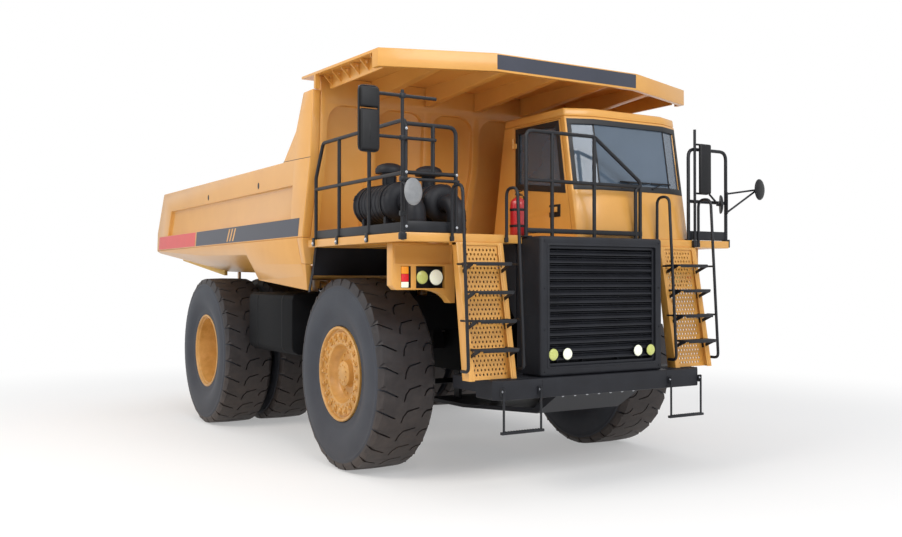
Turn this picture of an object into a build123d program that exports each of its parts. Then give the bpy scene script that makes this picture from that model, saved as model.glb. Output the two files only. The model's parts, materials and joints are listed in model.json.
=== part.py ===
from build123d import *
import math
import os

# Rigid mining dump truck, millimetres.
# The truck faces -Y and its left side, where the cab stands, is +X. The ground is Z = 0.
# The origin lies on the ground below the middle of the truck.

# Main layout, with Y measured from the front axle where a name ends in _AT
WHEELBASE = 4320.0
FRONT_AXLE_Y = -2345.0
REAR_AXLE_Y = FRONT_AXLE_Y + WHEELBASE
FIT = 0.3                # gap between faces that seat on each other
RUNNING_FIT = 0.5        # radial gap of pins, spindles and rods
DOOR_GAP = 6.0

# Tyres and rims
TYRE_TIP_R = 1085.0
TREAD_ROOT_R = 1042.0
SHOULDER_R = 985.0
SIDEWALL_R = 800.0
BEAD_R = 560.0
RIM_R = 533.0
TREAD_HALF_W = 310.0
TYRE_HALF_W = 370.0
BEAD_HALF_W = 300.0
LUGS = 20                # chevron lugs round the tread
LUG_SHARE = 0.8          # part of the pitch that a lug fills
HUB_SIDES = 10           # flats of turned parts and of the bores that turn on round pins
FLATS_R = 1 / math.cos(math.pi / HUB_SIDES)   # corner radius of a bore with flats, per its inner radius
FRONT_TYRE_X = 1704.0
TWIN_CENTRE_X = 1490.0
TWIN_SPACING = 810.0
# The two ends of a groove in the outer shoulders stand on the ground
AXLE_Z = TYRE_TIP_R * math.cos((1 - LUG_SHARE) * math.pi / LUGS)

# Frame
RAIL_IN_X = 260.0
RAIL_OUT_X = 460.0
RAIL_TOP_FRONT_Z = 1500.0
RAIL_TOP_REAR_Z = 1880.0
RAIL_BOTTOM_Z = 1050.0
RAIL_ARCH_Z = 1450.0
PIVOT_AT = 5370.0
PIVOT_Z = 1600.0
PIVOT_PIN_R = 50.0
PIVOT_Y = FRONT_AXLE_Y + PIVOT_AT

# Front suspension and steering
KINGPIN_X = 1150.0
STRUT_R = 125.0
STRUT_ROD_R = 90.0
STRUT_BOTTOM_Z = 1330.0
STRUT_TOP_Z = 2330.0
SPINDLE_R = 110.0
STEER_ARM = 420.0
STEER_PIN_Z = 880.0
STEER_PIN_R = 20.0

# Hoist cylinders
HOIST_X = 585.0
HOIST_LOW = (FRONT_AXLE_Y + 3800.0, 950.0)
HOIST_HIGH = (FRONT_AXLE_Y + 3700.0, 2050.0)
HOIST_PIN_R = 40.0
HOIST_BARREL_R = 98.0
HOIST_STAGE_R = 78.0
HOIST_ROD_R = 56.0

# Deck, housing and bumper
DECK_HALF_X = 2210.0
DECK_TOP_Z = 2605.0
DECK_BOTTOM_Z = 2520.0
DECK_FRONT_Y = FRONT_AXLE_Y - 1870.0
DECK_REAR_Y = FRONT_AXLE_Y + 450.0
HOUSING_HALF_X = 825.0
HOUSING_FRONT_Y = FRONT_AXLE_Y - 2185.0
HOUSING_REAR_Y = FRONT_AXLE_Y - 1750.0
HOUSING_TOP_Z = 2590.0
BUMPER_HALF_X = 1390.0
BUMPER_TOP_Z = 1165.0
BUMPER_BOTTOM_Z = 970.0
BUMPER_FRONT_Y = FRONT_AXLE_Y - 2230.0
BUMPER_REAR_Y = FRONT_AXLE_Y - 1420.0
GRILLE_HALF_X = 727.0
GRILLE_LOW_Z = 1265.0
GRILLE_TOP_Z = 2500.0
GRILLE_DEPTH = 120.0
LOUVRES = 15

# Cab
CAB_X = (0.0, 1665.0)
CAB_CORNER = 310.0
CAB_FLOOR_Z = DECK_TOP_Z
CAB_ROOF_Z = 4060.0
CAB_WALL = 55.0
CAB_ROOF_SPLIT_Z = 3965.0
DOOR_HINGE_Y = FRONT_AXLE_Y - 560.0
GLASS = 8.0

# Dump body
BED_HALF_X = 2250.0
BED_WALL = 110.0
BED_RAIL_Z = 3575.0
BEAM_Z = 2640.0
CANOPY_TOP_Z = 4520.0
CANOPY_LIP = 190.0
CANOPY_PLATE = 30.0

TUBE = 42.0              # guard rail tube
SLIM_TUBE = 34.0         # ladder handrail and mirror tube
TUBE_SIDES = 6
TUBE_FLAT = math.cos(math.pi / TUBE_SIDES)   # half the width over a tube's flats, per its corner radius
FLAT_SHARE = 0.02        # how far a face's last corner may stand off its plane

os.makedirs("parts", exist_ok=True)


def from_axle(outline):
    """Shift (y, z) points measured from the front axle into the truck's frame."""
    return [(y + FRONT_AXLE_Y, z) for y, z in outline]


def block(x_span, y_span, z_span, mode=Mode.ADD):
    """A box between its limits."""
    spans = (x_span, y_span, z_span)
    with Locations(tuple((low + high) / 2 for low, high in spans)):
        Box(*(high - low for low, high in spans), mode=mode)


def side_plate(outline, x_span, mode=Mode.ADD):
    """A profile of (y, z) points, as thick as x_span."""
    with BuildSketch(Plane.YZ.offset(x_span[0])) as profile:
        Polygon(*outline, align=None)
    extrude(profile.sketch, amount=x_span[1] - x_span[0], mode=mode)


def front_plate(outline, y_span, mode=Mode.ADD):
    """A profile of (x, z) points, as deep as y_span."""
    with BuildSketch(Plane.XZ.offset(-y_span[1])) as profile:
        Polygon(*outline, align=None)
    extrude(profile.sketch, amount=y_span[1] - y_span[0], mode=mode)


def floor_plate(outline, z_span, mode=Mode.ADD):
    """A plan of (x, y) points, as high as z_span."""
    with BuildSketch(Plane.XY.offset(z_span[0])) as profile:
        Polygon(*outline, align=None)
    extrude(profile.sketch, amount=z_span[1] - z_span[0], mode=mode)


def band(low, high):
    """Flat faces between two rings that have as many points each."""
    faces = []
    for index, corner in enumerate(low):
        after = (index + 1) % len(low)
        normal = (low[after] - corner).cross(high[index] - corner)
        if abs(normal.dot(high[after] - corner)) < FLAT_SHARE * normal.length:
            patches = [[corner, low[after], high[after], high[index]]]
        else:
            patches = [[corner, low[after], high[after]], [corner, high[after], high[index]]]
        faces += [Face(Wire.make_polygon(patch, close=True)) for patch in patches]
    return faces


def skin(rings, mode=Mode.ADD):
    """A solid with flat faces through rings that have as many points each."""
    faces = [Face(Wire.make_polygon(ring, close=True)) for ring in (rings[0], rings[-1])]
    for low, high in zip(rings, rings[1:]):
        faces += band(low, high)
    add(Solid(Shell(faces)), mode=mode)


def frame_at(origin, axis):
    """A plane whose local Y runs along an axis and whose local X stands off it."""
    along = Vector(*axis).normalized()
    aside = Plane(origin=(0, 0, 0), z_dir=along).x_dir
    return Plane(origin=Vector(*origin), x_dir=aside, z_dir=aside.cross(along))


def turned(origin, axis, stations, sides, mode=Mode.ADD):
    """A turned form with flats, from (distance along the axis, corner radius) stations."""
    frame = frame_at(origin, axis)
    rings = []
    for distance, radius in stations:
        angles = [2 * math.pi * index / sides for index in range(sides)]
        rings.append([frame.origin + frame.y_dir * distance + frame.x_dir * radius * math.cos(angle)
                      + frame.z_dir * radius * math.sin(angle) for angle in angles])
    skin(rings, mode=mode)


def spun(origin, axis, stations, mode=Mode.ADD):
    """A round form, or a round bore, from (distance along the axis, radius) stations."""
    frame = frame_at(origin, axis)
    edge = [(radius, distance) for distance, radius in stations]
    outline = [(0, edge[0][1]), *edge, (0, edge[-1][1])]
    with BuildSketch(frame) as profile:
        Polygon(*outline, align=None)
    revolve(profile.sketch, axis=Axis(frame.origin, frame.y_dir), mode=mode)


def tube(path, diameter=TUBE, sides=TUBE_SIDES):
    """A tube through points that lie in one plane, mitred where it bends."""
    points = [Vector(*point) for point in path]
    runs = [(end - start).normalized() for start, end in zip(points, points[1:])]
    bends = [before.cross(after).normalized() for before, after in zip(runs, runs[1:])]
    across = bends[0] if bends else frame_at(points[0], runs[0]).x_dir
    rings = []
    for index, point in enumerate(points):
        before, after = runs[max(index - 1, 0)], runs[min(index, len(runs) - 1)]
        mitre = before + after
        ring = []
        for corner in range(sides):
            angle = 2 * math.pi * (corner + 0.5) / sides
            spoke = (across * math.cos(angle) + across.cross(before) * math.sin(angle)) * (diameter / 2)
            ring.append(point + spoke - before * (spoke.dot(mitre) / before.dot(mitre)))
        rings.append(ring)
    skin(rings)


def save(builder, label):
    """Label a finished piece and write it."""
    builder.part.label = label
    export_step(builder.part, f"parts/{label}.step")


SIDES = {"left": 1, "right": -1}


def mirrored(span, side):
    """An x span on the left or right side."""
    return tuple(sorted((span[0] * side, span[1] * side)))


# Frame rails, cross members, strut towers, deck legs and hoist brackets
RAIL_OUTLINE = from_axle([
    (-1420, 980), (-1420, 1250), (-900, RAIL_TOP_FRONT_Z), (1300, RAIL_TOP_FRONT_Z),
    (2100, RAIL_TOP_REAR_Z), (5200, RAIL_TOP_REAR_Z), (5540, 1700), (5540, 1500),
    (5100, RAIL_ARCH_Z), (3500, RAIL_ARCH_Z), (2900, RAIL_BOTTOM_Z), (-900, RAIL_BOTTOM_Z),
])
HOIST_BRACKET = from_axle([(3450, 1460), (3480, 1460), (3720, 870), (3880, 870), (4080, 1460)])
# Cross members between the rails: y span from the front axle, z span
CROSS_MEMBERS = [((-1300, -1180), (1060, 1200)), ((1250, 1400), (1080, 1400)), ((5000, 5150), (1500, 1820))]
# Legs under the deck: x span, y span from the front axle, z span
DECK_LEGS = [
    ((490, 610), (-1330, -1210), (1060, DECK_BOTTOM_Z)),
    ((720, 840), (-60, 60), (1960, DECK_BOTTOM_Z)),
    ((490, 610), (300, 420), (1300, DECK_BOTTOM_Z)),
]
TANK_BRACKETS_AT = (1700, 2600)

with BuildPart() as chassis_frame:
    for side in SIDES.values():
        side_plate(RAIL_OUTLINE, mirrored((RAIL_IN_X, RAIL_OUT_X), side))
        side_plate(HOIST_BRACKET, mirrored((RAIL_OUT_X - 100, RAIL_OUT_X), side))
        block(mirrored((RAIL_OUT_X, KINGPIN_X + 20), side),
              (FRONT_AXLE_Y - 150, FRONT_AXLE_Y + 150), (1560, 1960))
        turned((KINGPIN_X * side, FRONT_AXLE_Y, 1500), (0, 0, 1),
               ((0, STRUT_R + FIT), (500, STRUT_R + FIT)), HUB_SIDES, mode=Mode.SUBTRACT)
        block(mirrored((RAIL_IN_X, RAIL_OUT_X), side),
              (FRONT_AXLE_Y - 150, FRONT_AXLE_Y + 150), (RAIL_TOP_FRONT_Z, 1960))
        block(mirrored((RAIL_OUT_X, 610), side), (FRONT_AXLE_Y - 1330, FRONT_AXLE_Y - 1210), (1060, 1240))
        block(mirrored((RAIL_OUT_X, 610), side), (FRONT_AXLE_Y + 300, FRONT_AXLE_Y + 420), (1300, 1480))
        for x_span, y_span, z_span in DECK_LEGS:
            block(mirrored(x_span, side), [y + FRONT_AXLE_Y for y in y_span], z_span)
        for y_at in TANK_BRACKETS_AT:
            block(mirrored((RAIL_OUT_X, 1000), side),
                  (FRONT_AXLE_Y + y_at, FRONT_AXLE_Y + y_at + 100), (1300, 1450))
        block(mirrored((RAIL_OUT_X, 670), side), (FRONT_AXLE_Y + 4570, FRONT_AXLE_Y + 4730), (1840, 1880))
        block(mirrored((RAIL_IN_X + 40, RAIL_OUT_X), side),
              (FRONT_AXLE_Y + 2820, FRONT_AXLE_Y + 2950), (860, 1055))
        spun((RAIL_OUT_X * side, *HOIST_LOW), (side, 0, 0),
             ((-20, HOIST_PIN_R), (HOIST_X - RAIL_OUT_X + 75, HOIST_PIN_R)))
        spun((RAIL_OUT_X * side, PIVOT_Y, PIVOT_Z), (side, 0, 0), ((-20, PIVOT_PIN_R), (110, PIVOT_PIN_R)))
    for y_span, z_span in CROSS_MEMBERS:
        block((-RAIL_IN_X, RAIL_IN_X), [y + FRONT_AXLE_Y for y in y_span], z_span)
    block((-RAIL_IN_X - 45, RAIL_IN_X + 45), (FRONT_AXLE_Y + 2820, FRONT_AXLE_Y + 2950), (860, 1000))
    block((-RAIL_IN_X, RAIL_IN_X), (FRONT_AXLE_Y + 5440, FRONT_AXLE_Y + 5540), (1500, 1700))
save(chassis_frame, "chassis_frame")

# Rear tow hitch, with a drop plate on the last cross member and a bored lug
HITCH_BORE = 70.0
HITCH_AT = 5680.0
with BuildPart() as tow_hitch:
    block((-160, 160), (FRONT_AXLE_Y + 5540, FRONT_AXLE_Y + 5580), (1260, 1680))
    block((-100, 100), (FRONT_AXLE_Y + 5580, FRONT_AXLE_Y + HITCH_AT + 90), (1290, 1350))
    with Locations((0, FRONT_AXLE_Y + HITCH_AT, 1320)):
        Cylinder(HITCH_BORE / 2, 80, mode=Mode.SUBTRACT)
save(tow_hitch, "tow_hitch")

# Engine, gearbox and drive shaft, plain masses between the rails
with BuildPart() as power_train:
    block((-450, 450), (FRONT_AXLE_Y - 880, FRONT_AXLE_Y + 280), (RAIL_TOP_FRONT_Z, 2350))
    block((-240, 240), (FRONT_AXLE_Y - 1100, FRONT_AXLE_Y + 450), (1100, RAIL_TOP_FRONT_Z))
    for side in SIDES.values():
        block(mirrored((RAIL_IN_X, 450), side), (FRONT_AXLE_Y - 150, FRONT_AXLE_Y + 150),
              (RAIL_TOP_FRONT_Z, 1960 + FIT), mode=Mode.SUBTRACT)
    block((-RAIL_IN_X, RAIL_IN_X), (FRONT_AXLE_Y + 1500, FRONT_AXLE_Y + 2500), (1080, 1480))
    block((-120, 120), (FRONT_AXLE_Y + 450, FRONT_AXLE_Y + 1250), (1150, 1300))
    block((-120, 120), (FRONT_AXLE_Y + 1400, FRONT_AXLE_Y + 1500), (1150, 1300))
    turned((0, FRONT_AXLE_Y + 2500, AXLE_Z + 60), (0, 1, -0.03), ((0, 55), (1483, 55)), 10)
save(power_train, "power_train")

# Rear axle: banjo, tubes, spindles, A-frame and strut seats
REAR_SPINDLE_R = 150.0
with BuildPart() as rear_axle:
    for side in SIDES.values():
        turned((0, REAR_AXLE_Y, AXLE_Z), (side, 0, 0), ((0, 335), (170, 335), (300, 200), (690, 200)), 12)
        spun((690 * side, REAR_AXLE_Y, AXLE_Z), (side, 0, 0), ((0, REAR_SPINDLE_R), (1010, REAR_SPINDLE_R)))
        block(mirrored((500, 670), side), (REAR_AXLE_Y + 100, REAR_AXLE_Y + 420), (1120, 1190))
    floor_plate([(-300, REAR_AXLE_Y - 130), (300, REAR_AXLE_Y - 130),
                 (120, FRONT_AXLE_Y + 2950 + FIT), (-120, FRONT_AXLE_Y + 2950 + FIT)], (890, 980))
save(rear_axle, "rear_axle")

with BuildPart() as rear_struts:
    for side in SIDES.values():
        base = (HOIST_X * side, FRONT_AXLE_Y + 4650, 1190)
        turned(base, (0, 0, 1), ((0, 68), (300, 68), (300, 88), (650, 88)), HUB_SIDES)
save(rear_struts, "rear_struts")

# Front suspension struts, clamped in the towers; the rod of each is the kingpin
with BuildPart() as front_struts:
    for side in SIDES.values():
        base = (KINGPIN_X * side, FRONT_AXLE_Y, 0)
        bore = (STRUT_ROD_R + RUNNING_FIT) * FLATS_R
        turned(base, (0, 0, 1), ((STRUT_BOTTOM_Z, STRUT_R), (STRUT_TOP_Z - 60, STRUT_R), (STRUT_TOP_Z, 80)),
               HUB_SIDES)
        turned(base, (0, 0, 1), ((STRUT_BOTTOM_Z - 1, bore), (STRUT_TOP_Z - 420, bore)), HUB_SIDES,
               mode=Mode.SUBTRACT)
save(front_struts, "front_struts")

# Knuckles: strut rod, wheel spindle and steering arm
for name, side in SIDES.items():
    with BuildPart() as knuckle:
        base = (KINGPIN_X * side, FRONT_AXLE_Y, 0)
        spun(base, (0, 0, 1), ((AXLE_Z + 200, STRUT_ROD_R), (STRUT_TOP_Z - 430, STRUT_ROD_R)))
        turned(base, (0, 0, 1), ((AXLE_Z - 230, 125), (AXLE_Z + 200, 125)), HUB_SIDES)
        hub = (KINGPIN_X * side, FRONT_AXLE_Y, AXLE_Z)
        turned(hub, (side, 0, 0), ((-90, 150), (60, 190), (160, 190)), HUB_SIDES)
        spun((hub[0] + 160 * side, *hub[1:]), (side, 0, 0), ((0, SPINDLE_R), (460, SPINDLE_R)))
        block(mirrored((KINGPIN_X - 55, KINGPIN_X + 55), side),
              (FRONT_AXLE_Y + 60, FRONT_AXLE_Y + STEER_ARM + 55), (STEER_PIN_Z + 40, STEER_PIN_Z + 85))
        spun((KINGPIN_X * side, FRONT_AXLE_Y + STEER_ARM, STEER_PIN_Z - 35), (0, 0, 1),
             ((0, STEER_PIN_R), (90, STEER_PIN_R)))
    save(knuckle, f"knuckle_{name}")

# Track rod between the two steering arms
with BuildPart() as track_rod:
    eye_y = FRONT_AXLE_Y + STEER_ARM
    turned((-KINGPIN_X + 30, eye_y, STEER_PIN_Z), (1, 0, 0), ((0, 34), (2 * KINGPIN_X - 60, 34)), 8)
    for side in SIDES.values():
        eye_bore = (STEER_PIN_R + RUNNING_FIT) * FLATS_R
        turned((KINGPIN_X * side, eye_y, STEER_PIN_Z - 30), (0, 0, 1), ((0, 52), (70 - FIT, 52)), HUB_SIDES)
        turned((KINGPIN_X * side, eye_y, STEER_PIN_Z - 40), (0, 0, 1), ((0, eye_bore), (90, eye_bore)),
               HUB_SIDES, mode=Mode.SUBTRACT)
save(track_rod, "track_rod")


def round_ring(centre_x, centre_y, radius):
    """Section through a wheel where it is plain: a corner for each lug."""
    angles = [2 * math.pi * corner / LUGS for corner in range(LUGS)]
    return [Vector(centre_x, centre_y + radius * math.cos(angle), AXLE_Z + radius * math.sin(angle))
            for angle in angles]


def tread_ring(centre_x, centre_y, turn):
    """Section through the tread: lugs with sharp grooves between them, turned by a share of the pitch."""
    points = []
    for lug in range(LUGS):
        for share, radius in ((-LUG_SHARE / 2, TYRE_TIP_R), (LUG_SHARE / 2, TYRE_TIP_R), (0.5, TREAD_ROOT_R)):
            angle = 2 * math.pi * (lug + turn + share) / LUGS - math.pi / 2
            points.append(Vector(centre_x, centre_y + radius * math.cos(angle),
                                 AXLE_Z + radius * math.sin(angle)))
    return points


def tyre(centre_x, centre_y):
    """A tyre of flat faces: sidewalls, chevron lugs and the bore that sits on the rim."""
    bore = RIM_R + RUNNING_FIT
    ridge = tread_ring(centre_x, centre_y, 0)
    faces = band(*(round_ring(centre_x + offset, centre_y, bore) for offset in (-BEAD_HALF_W, BEAD_HALF_W)))
    for side in SIDES.values():
        stations = ((BEAD_HALF_W, bore), (TYRE_HALF_W, SIDEWALL_R), (TREAD_HALF_W, SHOULDER_R))
        bead, wall, shoulder = [round_ring(centre_x + offset * side, centre_y, radius)
                                for offset, radius in stations]
        lugs = tread_ring(centre_x + TREAD_HALF_W * side, centre_y, 0.5)
        faces += band(bead, wall) + band(wall, shoulder) + band(lugs, ridge)
        faces.append(Face(Wire.make_polygon(lugs, close=True), [Wire.make_polygon(shoulder, close=True)]))
    add(Solid(Shell(faces)))


def rim_form(centre, side, stations, mode=Mode.ADD):
    """A part of a rim with as many flats as its tyre, from (distance outwards, corner radius) stations."""
    skin([round_ring(centre[0] + offset * side, centre[1], radius) for offset, radius in stations], mode=mode)


RIM_OUT = 330.0          # rim edge beyond the tyre's middle
for name, side in SIDES.items():
    out = (side, 0, 0)
    with BuildPart() as front_tyre:
        tyre(FRONT_TYRE_X * side, FRONT_AXLE_Y)
    save(front_tyre, f"front_tyre_{name}")

    with BuildPart() as front_rim:
        centre = (FRONT_TYRE_X * side, FRONT_AXLE_Y, AXLE_Z)
        rim_form(centre, side, ((-RIM_OUT, RIM_R), (RIM_OUT, RIM_R)))
        rim_form(centre, side, ((RIM_OUT - 90, 420), (RIM_OUT, 500)), mode=Mode.SUBTRACT)
        turned(centre, out, ((-RIM_OUT, 480), (120, 480)), HUB_SIDES, mode=Mode.SUBTRACT)
        turned(centre, out, ((RIM_OUT - 100, 270), (RIM_OUT - 20, 250), (RIM_OUT - 20, 130),
                             (RIM_OUT + 25, 110)), HUB_SIDES)
        turned(centre, out, ((-220, 200), (130, 240)), HUB_SIDES)
        bore = (SPINDLE_R + RUNNING_FIT) * FLATS_R
        turned(centre, out, ((-240, bore), (110, bore)), HUB_SIDES, mode=Mode.SUBTRACT)
    save(front_rim, f"front_rim_{name}")

    with BuildPart() as rear_tyres:
        for shift in (-TWIN_SPACING / 2, TWIN_SPACING / 2):
            tyre((TWIN_CENTRE_X + shift) * side, REAR_AXLE_Y)
    save(rear_tyres, f"rear_tyres_{name}")

    with BuildPart() as rear_rim:
        centre = (TWIN_CENTRE_X * side, REAR_AXLE_Y, AXLE_Z)
        reach = TWIN_SPACING / 2 + BEAD_HALF_W + 10
        rim_form(centre, side, ((-reach, RIM_R), (reach, RIM_R)))
        rim_form(centre, side, ((310, 455), (reach, 500)), mode=Mode.SUBTRACT)
        turned(centre, out, ((-reach, 480), (60, 480)), HUB_SIDES, mode=Mode.SUBTRACT)
        turned(centre, out, ((300, 260), (390, 240), (390, 150), (440, 130)), HUB_SIDES)
        turned(centre, out, ((-560, 230), (70, 260)), HUB_SIDES)
        bore = (REAR_SPINDLE_R + RUNNING_FIT) * FLATS_R
        turned(centre, out, ((-600, bore), (220, bore)), HUB_SIDES, mode=Mode.SUBTRACT)
    save(rear_rim, f"rear_rims_{name}")

# Bumper, belly guard and radiator housing
with BuildPart() as front_bumper:
    floor_plate([(-BUMPER_HALF_X, BUMPER_FRONT_Y + 80), (-BUMPER_HALF_X + 80, BUMPER_FRONT_Y),
                 (BUMPER_HALF_X - 80, BUMPER_FRONT_Y), (BUMPER_HALF_X, BUMPER_FRONT_Y + 80),
                 (BUMPER_HALF_X, BUMPER_REAR_Y), (-BUMPER_HALF_X, BUMPER_REAR_Y)],
                (BUMPER_BOTTOM_Z, BUMPER_TOP_Z))
    for side in SIDES.values():
        block(mirrored((900, BUMPER_HALF_X), side), (FRONT_AXLE_Y - 1860, BUMPER_REAR_Y),
              (BUMPER_BOTTOM_Z, BUMPER_BOTTOM_Z + 60), mode=Mode.SUBTRACT)
save(front_bumper, "front_bumper")

GUARD_OUTLINE = from_axle([(-2120, BUMPER_BOTTOM_Z), (-1760, 740), (-300, 640), (500, 640), (500, 680),
                           (-300, 680), (-1700, 790), (-1960, BUMPER_BOTTOM_Z)])
with BuildPart() as belly_guard:
    side_plate(GUARD_OUTLINE, (-560, 560))
    for side in SIDES.values():
        block(mirrored((RAIL_IN_X, RAIL_IN_X + 40), side), (FRONT_AXLE_Y + 200, FRONT_AXLE_Y + 320),
              (670, RAIL_BOTTOM_Z))
save(belly_guard, "belly_guard")

with BuildPart() as grille_housing:
    block((-HOUSING_HALF_X, HOUSING_HALF_X), (HOUSING_FRONT_Y, HOUSING_REAR_Y),
          (BUMPER_TOP_Z, HOUSING_TOP_Z))
    block((-GRILLE_HALF_X, GRILLE_HALF_X), (HOUSING_FRONT_Y, HOUSING_FRONT_Y + GRILLE_DEPTH),
          (GRILLE_LOW_Z, GRILLE_TOP_Z), mode=Mode.SUBTRACT)
    for side in SIDES.values():
        side_plate(from_axle([(-1750, 1700), (-1750, DECK_BOTTOM_Z), (-1470, DECK_BOTTOM_Z), (-1470, 2100)]),
                   mirrored((HOUSING_HALF_X - 40, HOUSING_HALF_X), side))
save(grille_housing, "grille_housing")

# Lamps in the grille's lower corners: x, z, radius
GRILLE_LAMPS = [(479, 1390, 62), (660, 1390, 62)]
LAMP_BAY_X = 400.0
LAMP_BAY_Z = (1320.0, 1460.0)
LOUVRE_RISE = 56.0
LOUVRE_PITCH = (GRILLE_TOP_Z - GRILLE_LOW_Z) / LOUVRES
with BuildPart() as grille_louvres:
    for index in range(LOUVRES):
        low = GRILLE_LOW_Z + (index + 0.25) * LOUVRE_PITCH
        beside_lamps = low < LAMP_BAY_Z[1] and low + LOUVRE_RISE > LAMP_BAY_Z[0]
        half_x = LAMP_BAY_X if beside_lamps else GRILLE_HALF_X
        y = HOUSING_FRONT_Y + 20
        side_plate([(y, low), (y + 12, low), (y + 70, low + 40), (y + 70, low + LOUVRE_RISE)],
                   (-half_x, half_x))
    for x in (-330, 330):
        block((x - 8, x + 8), (HOUSING_FRONT_Y + 90, HOUSING_FRONT_Y + GRILLE_DEPTH),
              (GRILLE_LOW_Z, GRILLE_TOP_Z))
save(grille_louvres, "grille_louvres")

# Deck: outline in plan with a notch round the housing, pockets below
DECK_OUTLINE = [(-DECK_HALF_X, DECK_FRONT_Y), (-HOUSING_HALF_X - 5, DECK_FRONT_Y),
                (-HOUSING_HALF_X - 5, HOUSING_REAR_Y), (HOUSING_HALF_X + 5, HOUSING_REAR_Y),
                (HOUSING_HALF_X + 5, DECK_FRONT_Y), (DECK_HALF_X, DECK_FRONT_Y),
                (DECK_HALF_X, DECK_REAR_Y), (-DECK_HALF_X, DECK_REAR_Y)]
# Pockets between the bearers below the deck plate: x span, y span from the front axle
DECK_POCKETS = [((x, x + 620), (y, y + 480)) for x in (880, 1540) for y in (-1640, -1080, -520, -40)]
with BuildPart() as deck_platform:
    floor_plate(DECK_OUTLINE, (DECK_BOTTOM_Z, DECK_TOP_Z))
    for side in SIDES.values():
        for x_span, y_span in DECK_POCKETS:
            block(mirrored(x_span, side), [y + FRONT_AXLE_Y for y in y_span],
                  (DECK_BOTTOM_Z, DECK_TOP_Z - 15), mode=Mode.SUBTRACT)
save(deck_platform, "deck_platform")

# Lamp pods below the deck's front corners
POD_OUTLINE = [(1390, DECK_BOTTOM_Z), (2120, DECK_BOTTOM_Z), (2120, 2090), (2075, 2045), (1560, 2045),
               (1440, 1906), (1390, 1906)]
POD_Y = (FRONT_AXLE_Y - 1460, FRONT_AXLE_Y - 1340)
LAMP_BOX = ((1509, 1851), (2060, 2286))
MARKER_BOX = ((1909, 2024), (2064, 2285))
with BuildPart() as fender_pods:
    for side in SIDES.values():
        front_plate([(x * side, z) for x, z in POD_OUTLINE], POD_Y)
        block(mirrored((1430, 2085), side), (POD_Y[0], POD_Y[0] + 12), (2310, 2490), mode=Mode.SUBTRACT)
        block(mirrored(LAMP_BOX[0], side), (POD_Y[0], POD_Y[0] + 60), LAMP_BOX[1], mode=Mode.SUBTRACT)
        block(mirrored(MARKER_BOX[0], side), (POD_Y[0], POD_Y[0] + 20), MARKER_BOX[1], mode=Mode.SUBTRACT)
save(fender_pods, "fender_pods")

# Lamps on the pods: x, z, radius
POD_LAMPS = [(1613, 2171, 82), (1777, 2171, 70)]
with BuildPart() as head_lamps:
    for side in SIDES.values():
        for x, z, radius in POD_LAMPS:
            turned((x * side, POD_Y[0] + 60, z), (0, -1, 0),
                   ((0, radius - 15), (50, radius), (70, radius - 25)), 8)
        for x, z, radius in GRILLE_LAMPS:
            turned((x * side, HOUSING_FRONT_Y + GRILLE_DEPTH, z), (0, -1, 0),
                   ((0, radius - 15), (110, radius), (128, radius - 20)), 8)
        block(mirrored((1915, 2018), side), (POD_Y[0] - 6, POD_Y[0] + 20), (2070, 2279))
save(head_lamps, "head_lamps")

# Guards behind the front wheels: a leaning wall under the deck and a strip down each outer end
GUARD_WALL = from_axle([(438, DECK_BOTTOM_Z), (450, DECK_BOTTOM_Z), (494, 2195), (482, 2195)])
GUARD_STRIP = from_axle([(400, DECK_BOTTOM_Z), (450, DECK_BOTTOM_Z), (500, 2330), (560, 2190), (640, 2000),
                         (590, 2000), (510, 2190), (450, 2330)])
with BuildPart() as mudguards:
    for side in SIDES.values():
        side_plate(GUARD_WALL, mirrored((1100, 2130), side))
        side_plate(GUARD_STRIP, mirrored((2118, 2130), side))
save(mudguards, "mudguards")

# Ladders: two stringers and a back plate with a grid of holes, leaning on the bumper
LADDER_X = (1080.0, 1640.0)
LADDER_TOP = (FRONT_AXLE_Y - 1870.0, 2500.0)
LADDER_FOOT = (FRONT_AXLE_Y - 2060.0, BUMPER_TOP_Z)
STEP_Z = (2320, 2040, 1760, 1480)


def ladder_y(z):
    """Front face of the ladder's back plate at a height."""
    share = (z - LADDER_FOOT[1]) / (LADDER_TOP[1] - LADDER_FOOT[1])
    return LADDER_FOOT[0] + share * (LADDER_TOP[0] - LADDER_FOOT[0])


LADDER_TOP_Z = DECK_BOTTOM_Z
with BuildPart() as ladders:
    for side in SIDES.values():
        y_low, y_high = ladder_y(BUMPER_TOP_Z), ladder_y(LADDER_TOP_Z)
        side_plate([(y_low, BUMPER_TOP_Z), (y_low + 14, BUMPER_TOP_Z), (y_high + 14, LADDER_TOP_Z),
                    (y_high, LADDER_TOP_Z)], mirrored(LADDER_X, side))
        for x in (LADDER_X[0], LADDER_X[1] - 45):
            side_plate([(y_low - 70, BUMPER_TOP_Z), (y_low + 60, BUMPER_TOP_Z), (y_high + 60, LADDER_TOP_Z),
                        (y_high - 20, LADDER_TOP_Z)], mirrored((x, x + 45), side))
        block(mirrored(LADDER_X, side), (ladder_y(LADDER_TOP_Z) - 20, DECK_FRONT_Y + 120),
              (LADDER_TOP_Z - 30, LADDER_TOP_Z))
save(ladders, "ladders")

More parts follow.
